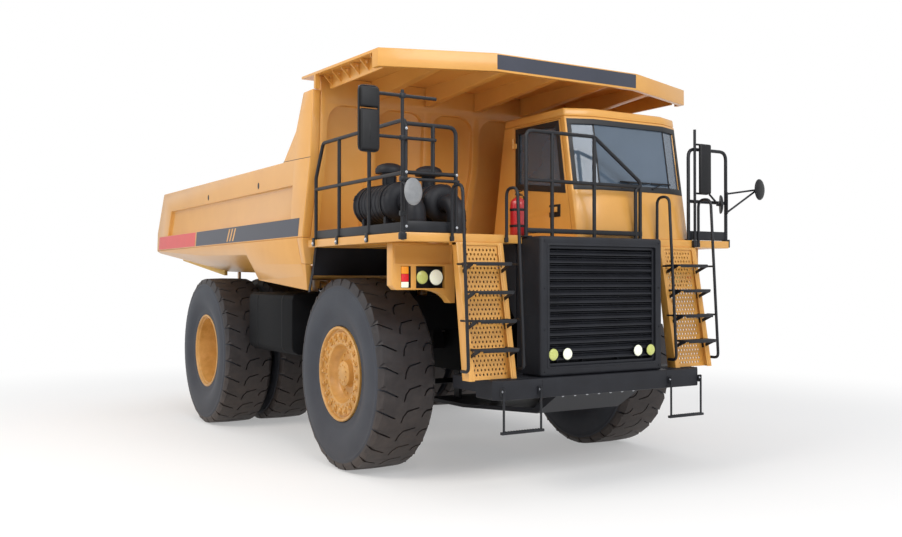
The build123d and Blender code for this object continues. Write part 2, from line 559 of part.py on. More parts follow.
HANGER_X = (880, 1328)
with BuildPart() as steps:
    for side in SIDES.values():
        for z in STEP_Z:
            y = ladder_y(z)
            block(mirrored((LADDER_X[0] + 45, LADDER_X[1] - 45), side), (y - 250, y - 20), (z - 14, z))
            for x in (LADDER_X[0] + 45, LADDER_X[1] - 57):
                side_plate([(y - 215, z - 14), (y - 215, z), (y, z), (ladder_y(z - 110), z - 110)],
                           mirrored((x, x + 12), side))
        for x in HANGER_X:
            block(mirrored((x - 20, x + 20), side), (BUMPER_FRONT_Y - 20, BUMPER_FRONT_Y), (1020, 1090))
            tube([(x * side, BUMPER_FRONT_Y - 30, 1080), (x * side, BUMPER_FRONT_Y - 30, 675)], 22)
        block(mirrored((HANGER_X[0] - 30, HANGER_X[1] + 30), side),
              (BUMPER_FRONT_Y - 48, BUMPER_FRONT_Y - 8), (645, 675))
save(steps, "steps")

# Guard rails. Posts and rails of the right deck, left deck and housing, as tube paths
RAIL_TOP_Z = 3650.0
RAIL_MID_Z = 3180.0
LOW = DECK_TOP_Z
F = DECK_FRONT_Y + 25
RX = -DECK_HALF_X + 25
HY = HOUSING_FRONT_Y + 285
GUARD_PATHS = [
    [(RX, FRONT_AXLE_Y + 280, LOW), (RX, FRONT_AXLE_Y + 280, 3310), (RX, FRONT_AXLE_Y + 80, 3690),
     (RX, F, 3690), (RX, F, LOW)],
    [(RX, FRONT_AXLE_Y - 345, LOW), (RX, FRONT_AXLE_Y - 345, 3690)],
    [(RX, FRONT_AXLE_Y - 1070, LOW), (RX, FRONT_AXLE_Y - 1070, 3690)],
    [(RX, FRONT_AXLE_Y + 280, RAIL_MID_Z), (RX, F, RAIL_MID_Z)],
    [(RX, F, RAIL_TOP_Z), (-1617, F, RAIL_TOP_Z), (-1617, F, LOW)],
    [(RX, F, RAIL_MID_Z), (-1617, F, RAIL_MID_Z)],
    [(-1881, F, RAIL_MID_Z), (-1881, F, RAIL_TOP_Z)],
    [(-RX, F, LOW), (-RX, F, 3670), (1567, F, 3670), (1567, F, LOW)],
    [(-RX, F, 3060), (1567, F, 3060)],
    [(-800, HY, HOUSING_TOP_Z), (-800, HY, 3690), (107, HY, 3690), (767, HY, 3234),
     (767, HY, HOUSING_TOP_Z)],
    [(-464, HY, HOUSING_TOP_Z), (-464, HY, 3690)],
    [(107, HY, HOUSING_TOP_Z), (107, HY, 3690)],
    [(-800, HY, RAIL_MID_Z), (767, HY, RAIL_MID_Z)],
]
HANDRAIL_X = (1035, 1685)
with BuildPart() as hand_rails:
    for path in GUARD_PATHS:
        tube(path)
    block((RX, -1617), (F - 8, F + 8), (LOW, LOW + 110))
    block((1567, -RX), (F - 8, F + 8), (LOW, LOW + 110))
    for side in SIDES.values():
        for x in HANDRAIL_X:
            rear_y = DECK_FRONT_Y - SLIM_TUBE / 2 - FIT
            top_y = rear_y - 190
            tube([(x * side, ladder_y(BUMPER_TOP_Z) - 130, BUMPER_TOP_Z + 1.4), (x * side, top_y, 2980),
                  (x * side, top_y + 50, 3060), (x * side, rear_y - 50, 3060), (x * side, rear_y, 2980),
                  (x * side, rear_y, DECK_BOTTOM_Z + 10)], SLIM_TUBE)
save(hand_rails, "hand_rails")


# Cab shell as a hollow form that leans back to its roof
def cab_ring(z, inset):
    """Plan of the cab at a height, moved inwards by the wall."""
    share = (z - CAB_FLOOR_Z) / (CAB_ROOF_Z - CAB_FLOOR_Z)
    front = FRONT_AXLE_Y - 1860 + 240 * share
    corner = front + 120
    rear = FRONT_AXLE_Y - 110 - 260 * share
    low_x, high_x = CAB_X[0] + inset, CAB_X[1] - inset
    return [(low_x, corner + inset * 0.75), (CAB_X[0] + CAB_CORNER + inset * 0.2, front + inset),
            (CAB_X[1] - CAB_CORNER - inset * 0.2, front + inset), (high_x, corner + inset * 0.75),
            (high_x, rear - inset), (low_x, rear - inset)]


def cab_body(z_span, inset, mode=Mode.ADD):
    """The cab's form between two heights."""
    skin([[Vector(x, y, z) for x, y in cab_ring(z, inset)] for z in z_span], mode=mode)


DOOR_OUTLINE = [(-560, 2690), (-1640, 2690), (-1435, 3940), (-560, 3940)]
DOOR_WINDOW = [(-640, 3265), (-1485, 3165), (-1375, 3880), (-640, 3880)]
FRONT_WINDOW_Z = (3200.0, 3880.0)


def grown(outline, gap):
    """A near-square outline moved outwards by a gap."""
    ys, zs = [y for y, _ in outline], [z for _, z in outline]
    middle_y, middle_z = (min(ys) + max(ys)) / 2, (min(zs) + max(zs)) / 2
    return [(y + math.copysign(gap, y - middle_y), z + math.copysign(gap, z - middle_z)) for y, z in outline]


def front_window(gap, depth, mode=Mode.ADD):
    """The windscreen's opening or pane: a slab along the leaning front, wrapped round both corners."""
    low, high = FRONT_WINDOW_Z[0] - gap, FRONT_WINDOW_Z[1] + gap
    rings = []
    for z in (low, high):
        outer, inner = cab_ring(z, depth[0]), cab_ring(z, depth[1])
        side = 55 - gap
        plan = [(outer[0][0] + side, outer[0][1] - side * 0.38), outer[1], outer[2],
                (outer[3][0] - side, outer[3][1] - side * 0.38),
                (inner[3][0] - side, inner[3][1] - side * 0.38), inner[2], inner[1],
                (inner[0][0] + side, inner[0][1] - side * 0.38)]
        rings.append([Vector(x, y, z) for x, y in plan])
    skin(rings, mode=mode)


REAR_WINDOW = ((350, 1315), (3200, 3850))
with BuildPart() as cab_shell:
    cab_body((CAB_FLOOR_Z, CAB_ROOF_SPLIT_Z), 0)
    cab_body((CAB_FLOOR_Z + CAB_WALL, CAB_ROOF_SPLIT_Z + 1), CAB_WALL, mode=Mode.SUBTRACT)
    for x_span in ((CAB_X[0] - 5, CAB_X[0] + CAB_WALL + 5), (CAB_X[1] - CAB_WALL - 5, CAB_X[1] + 5)):
        side_plate(from_axle(grown(DOOR_OUTLINE, DOOR_GAP)), x_span, mode=Mode.SUBTRACT)
    front_window(0, (-30, CAB_WALL + 30), mode=Mode.SUBTRACT)
    block(REAR_WINDOW[0], (FRONT_AXLE_Y - 520, FRONT_AXLE_Y), REAR_WINDOW[1], mode=Mode.SUBTRACT)
save(cab_shell, "cab_shell")

with BuildPart() as cab_roof:
    cab_body((CAB_ROOF_SPLIT_Z, CAB_ROOF_Z), 0)
    cab_body((CAB_ROOF_SPLIT_Z, CAB_ROOF_Z - 45), CAB_WALL, mode=Mode.SUBTRACT)
save(cab_roof, "cab_roof")

with BuildPart() as cab_glass:
    front_window(0, (15, 15 + GLASS))
    rear_low, rear_high = [cab_ring(z, 25)[4][1] for z in REAR_WINDOW[1]]
    side_plate([(rear_low - GLASS, REAR_WINDOW[1][0]), (rear_low, REAR_WINDOW[1][0]),
                (rear_high, REAR_WINDOW[1][1]), (rear_high - GLASS, REAR_WINDOW[1][1])], REAR_WINDOW[0])
save(cab_glass, "cab_glass")

HINGE_Z = (2880.0, 3760.0)
HINGE_OUT = 14.0
for name, side in SIDES.items():
    skin_x = CAB_X[1] if side > 0 else CAB_X[0]
    with BuildPart() as cab_door:
        span = sorted((skin_x, skin_x - side * 50))
        side_plate(from_axle(DOOR_OUTLINE), span)
        side_plate(from_axle(DOOR_WINDOW), span, mode=Mode.SUBTRACT)
        for z in HINGE_Z:
            spun((skin_x + side * HINGE_OUT, DOOR_HINGE_Y + 3, z - 60), (0, 0, 1), ((0, 13), (60 - FIT, 13)))
            block(sorted((skin_x, skin_x + side * (HINGE_OUT + 5))), (DOOR_HINGE_Y - 60, DOOR_HINGE_Y - 5),
                  (z - 60, z - FIT))
        block(sorted((skin_x, skin_x + side * 30)), (FRONT_AXLE_Y - 1400, FRONT_AXLE_Y - 1250), (2905, 2960))
    save(cab_door, f"cab_door_{name}")
    with BuildPart() as door_glass:
        side_plate(from_axle(DOOR_WINDOW), sorted((skin_x - side * 20, skin_x - side * (20 + GLASS))))
    save(door_glass, f"door_glass_{name}")

# Seat, console, dash and steering wheel seen through the glass
WHEEL_R = 210.0
with BuildPart() as cab_interior:
    floor = CAB_FLOOR_Z + CAB_WALL
    block((560, 1100), (FRONT_AXLE_Y - 1000, FRONT_AXLE_Y - 500), (floor + 280, floor + 420))
    block((660, 1000), (FRONT_AXLE_Y - 950, FRONT_AXLE_Y - 560), (floor, floor + 280))
    side_plate(from_axle([(-620, floor + 420), (-500, floor + 420), (-430, floor + 1100),
                          (-520, floor + 1100)]), (590, 1070))
    side_plate(from_axle([(-1690, floor), (-1450, floor), (-1400, 3120), (-1560, 3190), (-1660, 3100)]),
               (220, 1445))
    hub, column = (830, FRONT_AXLE_Y - 1310, 3170), (0, 1, 1)
    turned(hub, column, ((0, WHEEL_R), (26, WHEEL_R)), 14)
    turned(hub, column, ((-5, WHEEL_R - 32), (31, WHEEL_R - 32)), 14, mode=Mode.SUBTRACT)
    turned(hub, column, ((0, 60), (26, 60)), 8)
    turned(hub, column, ((-170, 30), (5, 30)), 8)
    turned((hub[0] - WHEEL_R + 20, hub[1] + 9, hub[2] + 9), (1, 0, 0),
           ((0, 12), (2 * (WHEEL_R - 20), 12)), TUBE_SIDES)
save(cab_interior, "cab_interior")

# Hinge barrels on the cab's door posts
with BuildPart() as door_hinges:
    for side in SIDES.values():
        skin_x = CAB_X[1] if side > 0 else CAB_X[0]
        for z in HINGE_Z:
            turned((skin_x + side * HINGE_OUT, DOOR_HINGE_Y + 3, z), (0, 0, 1), ((0, 13), (60, 13)), 8)
            block(sorted((skin_x, skin_x + side * (HINGE_OUT + 5))), (DOOR_HINGE_Y + 8, DOOR_HINGE_Y + 60),
                  (z, z + 60))
save(door_hinges, "door_hinges")

# Air cleaners on the right deck: x of each canister
CLEANER_X = (-1860.0, -1380.0)
CLEANER_Z = 2950.0
with BuildPart() as air_cleaners:
    for x in CLEANER_X:
        front = FRONT_AXLE_Y - 1250
        turned((x, front, CLEANER_Z), (0, 1, 0), ((0, 190), (60, 215), (800, 215), (860, 190)), 14)
        tube([(x, front + 10, CLEANER_Z), (x, front - 180, CLEANER_Z - 40),
              (x, front - 230, CLEANER_Z - 160), (x, front - 230, DECK_TOP_Z)], 210, 8)
        turned((x, FRONT_AXLE_Y - 900, CLEANER_Z + 150), (0, 0, 1), ((0, 75), (180, 75)), 6)
        turned((x, FRONT_AXLE_Y - 900, CLEANER_Z + 320), (0, 0, 1), ((0, 150), (60, 150), (110, 60)), 10)
        for y in (front + 150, front + 650):
            block((x - 150, x + 150), (y, y + 50), (DECK_TOP_Z, CLEANER_Z - 150))
save(air_cleaners, "air_cleaners")

# Mirrors: tubes, then heads. Round ones: middle of the back, way that the back looks, radius
MIRROR_X = 2740.0
MIRROR_Y = DECK_FRONT_Y - 30
POLE_X = -DECK_HALF_X - 40
ROUND_MIRRORS = [
    ((POLE_X, MIRROR_Y - 200, 2970), (0.4, -1, 0), 128),
    ((1960, MIRROR_Y - 60, 3030), (0.75, -0.66, 0), 110),
    ((2700, MIRROR_Y, 3245), (0.3, -1, 0), 128),
]
BOSS = 40.0
ARM_TUBE = 24.0
with BuildPart() as mirror_arms:
    bosses = []
    for centre, axis, radius in ROUND_MIRRORS:
        turned(centre, axis, ((-BOSS, 20), (-FIT, 20)), TUBE_SIDES)
        bosses.append(Vector(*centre) - Vector(*axis).normalized() * BOSS / 2)
    tube([(POLE_X, MIRROR_Y, LOW - 60), (POLE_X, MIRROR_Y, 3960)], SLIM_TUBE)
    tube([(POLE_X, MIRROR_Y, 3110), (-1617, MIRROR_Y, 3110)], SLIM_TUBE)
    for z in (3500, 3900):
        tube([(-MIRROR_X + 30, MIRROR_Y, z), (-1880, MIRROR_Y, z)], SLIM_TUBE)
    tube([(POLE_X, MIRROR_Y, 3090), bosses[0]], ARM_TUBE)
    tube([(1615, MIRROR_Y, LOW), (1615, MIRROR_Y, 3900)], SLIM_TUBE)
    tube([(1615, MIRROR_Y, 3720), (1850, MIRROR_Y, 3720), (1850, MIRROR_Y, 3150),
          (1615, MIRROR_Y, 3150)], ARM_TUBE)
    tube([(1850, MIRROR_Y, 3150), bosses[1]], ARM_TUBE)
    for z in (3170, 2950):
        tube([(DECK_HALF_X - 40, F - TUBE / 2 * TUBE_FLAT - ARM_TUBE / 2 - FIT, z), bosses[2]], ARM_TUBE)
    block((POLE_X - 30, -DECK_HALF_X), (DECK_FRONT_Y - 50, DECK_FRONT_Y),
          (DECK_BOTTOM_Z + 10, LOW - 10))
    block((1590, 1640), (DECK_FRONT_Y - 45, DECK_FRONT_Y), (DECK_BOTTOM_Z, LOW))
save(mirror_arms, "mirror_arms")

with BuildPart() as mirror_heads:
    block((-MIRROR_X, -MIRROR_X + 230), (MIRROR_Y - 70, MIRROR_Y - SLIM_TUBE / 2 - FIT), (3330, 3960))
    block((1655, 1830), (MIRROR_Y - 60, MIRROR_Y - ARM_TUBE / 2 * TUBE_FLAT - FIT), (3145, 3725))
    for centre, axis, radius in ROUND_MIRRORS:
        turned(centre, axis, ((0, radius), (40, radius - 23)), 16)
save(mirror_heads, "mirror_heads")

# Fire extinguisher beside the housing's guard rail
with BuildPart() as fire_extinguisher:
    turned((-760, FRONT_AXLE_Y - 1700, DECK_TOP_Z), (0, 0, 1), ((0, 85), (330, 85), (400, 35)), 12)
    turned((-760, FRONT_AXLE_Y - 1700, DECK_TOP_Z), (0, 0, 1), ((390, 28), (470, 28)), 8)
save(fire_extinguisher, "fire_extinguisher")

# Side tanks between the axles: y span from the front axle and z span
TANK_Y = (FRONT_AXLE_Y + 1450, FRONT_AXLE_Y + 3020)
TANK_Z = (1190, 1975)
with BuildPart() as fuel_tank:
    front_plate([(-2000, TANK_Z[0] + 90), (-1910, TANK_Z[0]), (-1000, TANK_Z[0]), (-1000, TANK_Z[1]),
                 (-1940, TANK_Z[1]), (-2000, TANK_Z[1] - 60)], TANK_Y)
save(fuel_tank, "fuel_tank")
with BuildPart() as hydraulic_tank:
    front_plate([(2000, TANK_Z[0] + 90), (1910, TANK_Z[0]), (1000, TANK_Z[0]), (1000, TANK_Z[1]),
                 (1940, TANK_Z[1]), (2000, TANK_Z[1] - 60)], TANK_Y)
save(hydraulic_tank, "hydraulic_tank")

# Dump body. Stations of the floor: y from the front axle, crease x, crease z, bottom x, bottom z
FLOOR_STATIONS = [
    (700, 2190, 2330, 2154, 2190), (2330, 2190, 2350, 2110, 2140), (2600, 2190, 2480, 1800, 2235),
    (4500, 2190, 2510, 1800, 2270), (6960, 2190, 2600, 1800, 2560),
]
FLOOR_THICK = 120.0
# Skirts outside the front wheels: y from the front axle, crease z, lower edge z
SKIRT_STATIONS = [(580, 2328, 2012), (2330, 2350, 2140)]
SKIRT_X = (2190.0, 2110.0)
SKIRT_THICK = 70.0
# Leaning front edge of the body's toe and skirts, in front of which all is cut away
TOE_CUT = from_axle([(450, 1950), (735, 1950), (640, 2190), (580, 2330), (535, BEAM_Z), (450, BEAM_Z)])


def floor_form(inset, z_top, mode=Mode.ADD):
    """The hull of the body between its stations, moved inwards by a wall."""
    rings = []
    for y, crease_x, crease_z, bottom_x, bottom_z in FLOOR_STATIONS:
        half = [(BED_HALF_X - inset, z_top), (crease_x - inset, crease_z + inset * 0.3),
                (bottom_x - inset * 0.6, bottom_z + inset)]
        outline = half + [(-x, z) for x, z in reversed(half)]
        rings.append([Vector(x, y + FRONT_AXLE_Y, z) for x, z in outline])
    skin(rings, mode=mode)


SILL_X = (300.0, 440.0)
LUG_X = (475.0, 555.0)
# Bars that hang between the twin tyres and throw out stones
EJECTOR = from_axle([(4860, 2350), (4940, 2350), (4900, 1500), (4860, 1500)])
LUG_OUTLINE = from_axle([(5240, PIVOT_Z - 60), (5300, PIVOT_Z - 130), (5440, PIVOT_Z - 130),
                         (5500, PIVOT_Z - 60), (5560, 2420), (5050, 2380)])
EYE_BRACKET = [(HOIST_HIGH[0] - 110, 2300), (HOIST_HIGH[0] - 70, HOIST_HIGH[1] - 40),
               (HOIST_HIGH[0] + 70, HOIST_HIGH[1] - 40), (HOIST_HIGH[0] + 130, 2300)]
with BuildPart() as bed_floor:
    floor_form(0, BEAM_Z)
    floor_form(FLOOR_THICK, BEAM_Z + FLOOR_THICK, mode=Mode.SUBTRACT)
    for side in SIDES.values():
        skirt = []
        for y, crease_z, edge_z in SKIRT_STATIONS:
            outer, inner = zip(SKIRT_X, (crease_z, edge_z)), zip(SKIRT_X[::-1], (edge_z, crease_z))
            section = [*outer, *((x - SKIRT_THICK, z) for x, z in inner)]
            skirt.append([Vector(x * side, y + FRONT_AXLE_Y, z) for x, z in section])
        skin(skirt)
        side_plate(TOE_CUT, mirrored((SKIRT_X[1] - SKIRT_THICK - 10, SKIRT_X[0] + 10), side),
                   mode=Mode.SUBTRACT)
        side_plate(from_axle([(2200, RAIL_TOP_REAR_Z + FIT), (5200, RAIL_TOP_REAR_Z + FIT), (5560, 2420),
                              (4500, 2320), (2600, 2280), (2200, 2180)]), mirrored(SILL_X, side))
        side_plate(LUG_OUTLINE, mirrored(LUG_X, side))
        pivot_bore = (PIVOT_PIN_R + RUNNING_FIT) * FLATS_R
        turned((LUG_X[0] * side, PIVOT_Y, PIVOT_Z), (side, 0, 0), ((-10, pivot_bore), (120, pivot_bore)),
               HUB_SIDES, mode=Mode.SUBTRACT)
        for x in (HOIST_X - 100, HOIST_X + 75):
            side_plate(EYE_BRACKET, mirrored((x, x + 25), side))
        side_plate(EJECTOR, mirrored((TWIN_CENTRE_X - 15, TWIN_CENTRE_X + 15), side))
        block(mirrored((SILL_X[1] - 10, LUG_X[0] + 10), side),
              (FRONT_AXLE_Y + 5200, FRONT_AXLE_Y + 5400), (2000, 2330))
save(bed_floor, "bed_floor")

SIDE_OUTLINE = from_axle([
    (535, BEAM_Z), (300, 3555), (247, CANOPY_TOP_Z - CANOPY_LIP), (500, CANOPY_TOP_Z - CANOPY_LIP),
    (720, 3920), (1130, BED_RAIL_Z), (6520, 3590), (6930, 2940), (6960, BEAM_Z),
])
SIDE_POCKET = from_axle([(900, 2880), (840, 3270), (6080, 3270), (6280, 2880)])
for name, side in SIDES.items():
    with BuildPart() as bed_side:
        side_plate(SIDE_OUTLINE, mirrored((BED_HALF_X - BED_WALL, BED_HALF_X), side))
        side_plate(SIDE_POCKET, mirrored((BED_HALF_X - 55, BED_HALF_X), side), mode=Mode.SUBTRACT)
    save(bed_side, f"bed_side_{name}")

HEADBOARD_FRONT = [(535, BEAM_Z), (300, 3555), (247, CANOPY_TOP_Z - CANOPY_PLATE)]
HEADBOARD_THICK = 140.0
HEADBOARD_BAYS = [(-2040, -1500), (-1400, -760), (-660, -50), (50, 660), (760, 1400), (1500, 2040)]
INNER_X = BED_HALF_X - BED_WALL
with BuildPart() as bed_headboard:
    upper = from_axle(HEADBOARD_FRONT)
    back = [(y + HEADBOARD_THICK, z) for y, z in reversed(upper)]
    side_plate(upper + back, (-INNER_X, INNER_X))
    for low_x, high_x in HEADBOARD_BAYS:
        pocket = from_axle([(512, 2740), (308, 3540), (262, 4180)])
        pocket_back = [(y + 70, z) for y, z in reversed(pocket)]
        pocket_front = [(y - 60, z) for y, z in pocket]
        side_plate(pocket_front + pocket_back, (low_x, high_x), mode=Mode.SUBTRACT)
    toe_y, crease_x, crease_z, bottom_x, bottom_z = FLOOR_STATIONS[0]
    toe = [(BED_HALF_X, BEAM_Z), (crease_x, crease_z), (bottom_x, bottom_z)]
    front_plate(toe + [(-x, z) for x, z in reversed(toe)], (FRONT_AXLE_Y + 535, FRONT_AXLE_Y + toe_y))
    side_plate(TOE_CUT, (-BED_HALF_X - 10, BED_HALF_X + 10), mode=Mode.SUBTRACT)
    for side in SIDES.values():
        block(mirrored((SKIRT_X[1] - SKIRT_THICK, BED_HALF_X), side),
              (FRONT_AXLE_Y + 535, FRONT_AXLE_Y + toe_y), (bottom_z - 10, crease_z), mode=Mode.SUBTRACT)
save(bed_headboard, "bed_headboard")

CANOPY_PLAN = [(-980, -1620), (980, -1620), (2150, -1200), (BED_HALF_X, 560), (-BED_HALF_X, 560),
               (-2150, -1200)]
CANOPY_CORNER_SLOPE = 420 / 1170
CANOPY_RIB_X = (-1450, -710, 0, 710, 1450)
with BuildPart() as bed_canopy:
    plan = [(x, y + FRONT_AXLE_Y) for x, y in CANOPY_PLAN]
    inner = [(x * 0.975, y + 50 if y < FRONT_AXLE_Y else y + 1) for x, y in plan]
    floor_plate(plan, (CANOPY_TOP_Z - CANOPY_LIP, CANOPY_TOP_Z))
    floor_plate(inner, (CANOPY_TOP_Z - CANOPY_LIP, CANOPY_TOP_Z - CANOPY_PLATE), mode=Mode.SUBTRACT)
    block((-BED_HALF_X, BED_HALF_X), (FRONT_AXLE_Y + 245, FRONT_AXLE_Y + 561),
          (CANOPY_TOP_Z - CANOPY_LIP, CANOPY_TOP_Z - CANOPY_PLATE), mode=Mode.SUBTRACT)
    for x in CANOPY_RIB_X:
        front = -1560 + max(0, abs(x) + 50 - CANOPY_PLAN[1][0]) * CANOPY_CORNER_SLOPE
        low = CANOPY_TOP_Z - 260 + 140 * (240 - front) / 1800
        side_plate(from_axle([(front, CANOPY_TOP_Z - CANOPY_PLATE), (front, low), (240, CANOPY_TOP_Z - 260),
                              (240, CANOPY_TOP_Z - CANOPY_PLATE)]), (x - 50, x + 50))
save(bed_canopy, "bed_canopy")

# Hoist cylinders, two stages each, drawn along the line from the frame pin to the body's pin
HOIST_LENGTH = math.dist(HOIST_LOW, HOIST_HIGH)
HOIST_DIR = (0, *((high - low) / HOIST_LENGTH for low, high in zip(HOIST_LOW, HOIST_HIGH)))
EYE_HALF = 50.0
for name, side in SIDES.items():
    foot = (HOIST_X * side, *HOIST_LOW)
    eye_top = (HOIST_X * side, *HOIST_HIGH)
    with BuildPart() as hoist_barrel:
        turned(foot, HOIST_DIR, ((60, 70), (110, HOIST_BARREL_R), (880, HOIST_BARREL_R)), HUB_SIDES)
        turned((foot[0] - EYE_HALF * side, foot[1], foot[2]), (side, 0, 0), ((0, 85), (2 * EYE_HALF, 85)),
               HUB_SIDES)
        stage_bore = HOIST_STAGE_R + RUNNING_FIT
        turned(foot, HOIST_DIR, ((150, stage_bore), (890, stage_bore)), HUB_SIDES, mode=Mode.SUBTRACT)
        pin_bore = (HOIST_PIN_R + RUNNING_FIT) * FLATS_R
        turned((foot[0] - 80 * side, foot[1], foot[2]), (side, 0, 0), ((0, pin_bore), (160, pin_bore)),
               HUB_SIDES, mode=Mode.SUBTRACT)
    save(hoist_barrel, f"hoist_barrel_{name}")
    with BuildPart() as hoist_stage:
        turned(foot, HOIST_DIR, ((160, HOIST_STAGE_R), (905, HOIST_STAGE_R)), HUB_SIDES)
        rod_bore = HOIST_ROD_R + RUNNING_FIT
        turned(foot, HOIST_DIR, ((175, rod_bore), (915, rod_bore)), HUB_SIDES, mode=Mode.SUBTRACT)
    save(hoist_stage, f"hoist_stage_{name}")
    with BuildPart() as hoist_rod:
        turned(foot, HOIST_DIR, ((185, HOIST_ROD_R), (HOIST_LENGTH - 60, HOIST_ROD_R)), HUB_SIDES)
        eye = (eye_top[0] - EYE_HALF * side, *eye_top[1:])
        turned(eye, (side, 0, 0), ((0, 80), (2 * EYE_HALF, 80)), HUB_SIDES)
    save(hoist_rod, f"hoist_rod_{name}")
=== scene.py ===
"""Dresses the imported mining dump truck: detailed pieces, finishes, camera and studio.

Everything is in metres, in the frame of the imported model: the truck faces -Y, its left side is +X
and the ground is Z = 0.
"""
import json
import logging
import math
from dataclasses import dataclass, field
from enum import Enum

import bpy
from mathutils import Matrix, Vector


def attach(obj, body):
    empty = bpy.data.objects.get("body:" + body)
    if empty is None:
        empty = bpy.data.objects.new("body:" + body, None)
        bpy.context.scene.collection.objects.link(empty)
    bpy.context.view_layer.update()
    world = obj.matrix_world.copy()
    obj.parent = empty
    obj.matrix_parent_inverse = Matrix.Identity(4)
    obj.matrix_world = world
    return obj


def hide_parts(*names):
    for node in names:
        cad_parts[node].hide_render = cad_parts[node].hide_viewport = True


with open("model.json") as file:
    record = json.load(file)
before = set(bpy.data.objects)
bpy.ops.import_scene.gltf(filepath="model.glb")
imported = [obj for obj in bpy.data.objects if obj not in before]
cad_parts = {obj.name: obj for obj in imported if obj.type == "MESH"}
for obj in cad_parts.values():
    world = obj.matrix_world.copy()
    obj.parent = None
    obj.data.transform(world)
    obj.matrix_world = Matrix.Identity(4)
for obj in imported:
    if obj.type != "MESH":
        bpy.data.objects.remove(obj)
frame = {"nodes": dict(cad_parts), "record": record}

LOG = logging.getLogger("truck")
Piece = bpy.types.Object
Point = tuple[float, float, float]
Flat = tuple[float, float]

FRONT_AXLE_Y = -2.345
WHEELBASE = 4.32
AXLE_Z = frame["record"]["behaviour"]["joints"][0]["pos_m"][2]
REAR_AXLE_Y = FRONT_AXLE_Y + WHEELBASE
# Bars of the left hanging step, and inner end of the right deck rail
HANGER_X = (0.88, 1.328)
RAIL_END_X = -1.617
FULL_TURN = 2 * math.pi
# Vertices closer than this become one
WELD = 0.00005
ORIGIN, SIDEWAYS, FORWARDS, BACKWARDS, UPWARDS = (0, 0, 0), (1, 0, 0), (0, -1, 0), (0, 1, 0), (0, 0, 1)


class Side(Enum):
    """The truck's two sides, with the sign of their X."""

    LEFT = 1
    RIGHT = -1


def from_axle(points: list[Flat]) -> list[Flat]:
    """Shift (y, z) points measured from the front axle into the truck's frame."""
    return [(y + FRONT_AXLE_Y, z) for y, z in points]


def oval(centre: Flat, across: float, upright: float, corners: int) -> list[Flat]:
    """Points round an oval.

    Args:
        centre: Its middle.
        across: Half of its size along the first coordinate.
        upright: Half of its size along the second coordinate.
        corners: Number of points.

    Returns:
        The points, from the far end of the first coordinate.
    """
    turns = [FULL_TURN * index / corners for index in range(corners)]
    return [(centre[0] + across * math.cos(turn), centre[1] + upright * math.sin(turn)) for turn in turns]


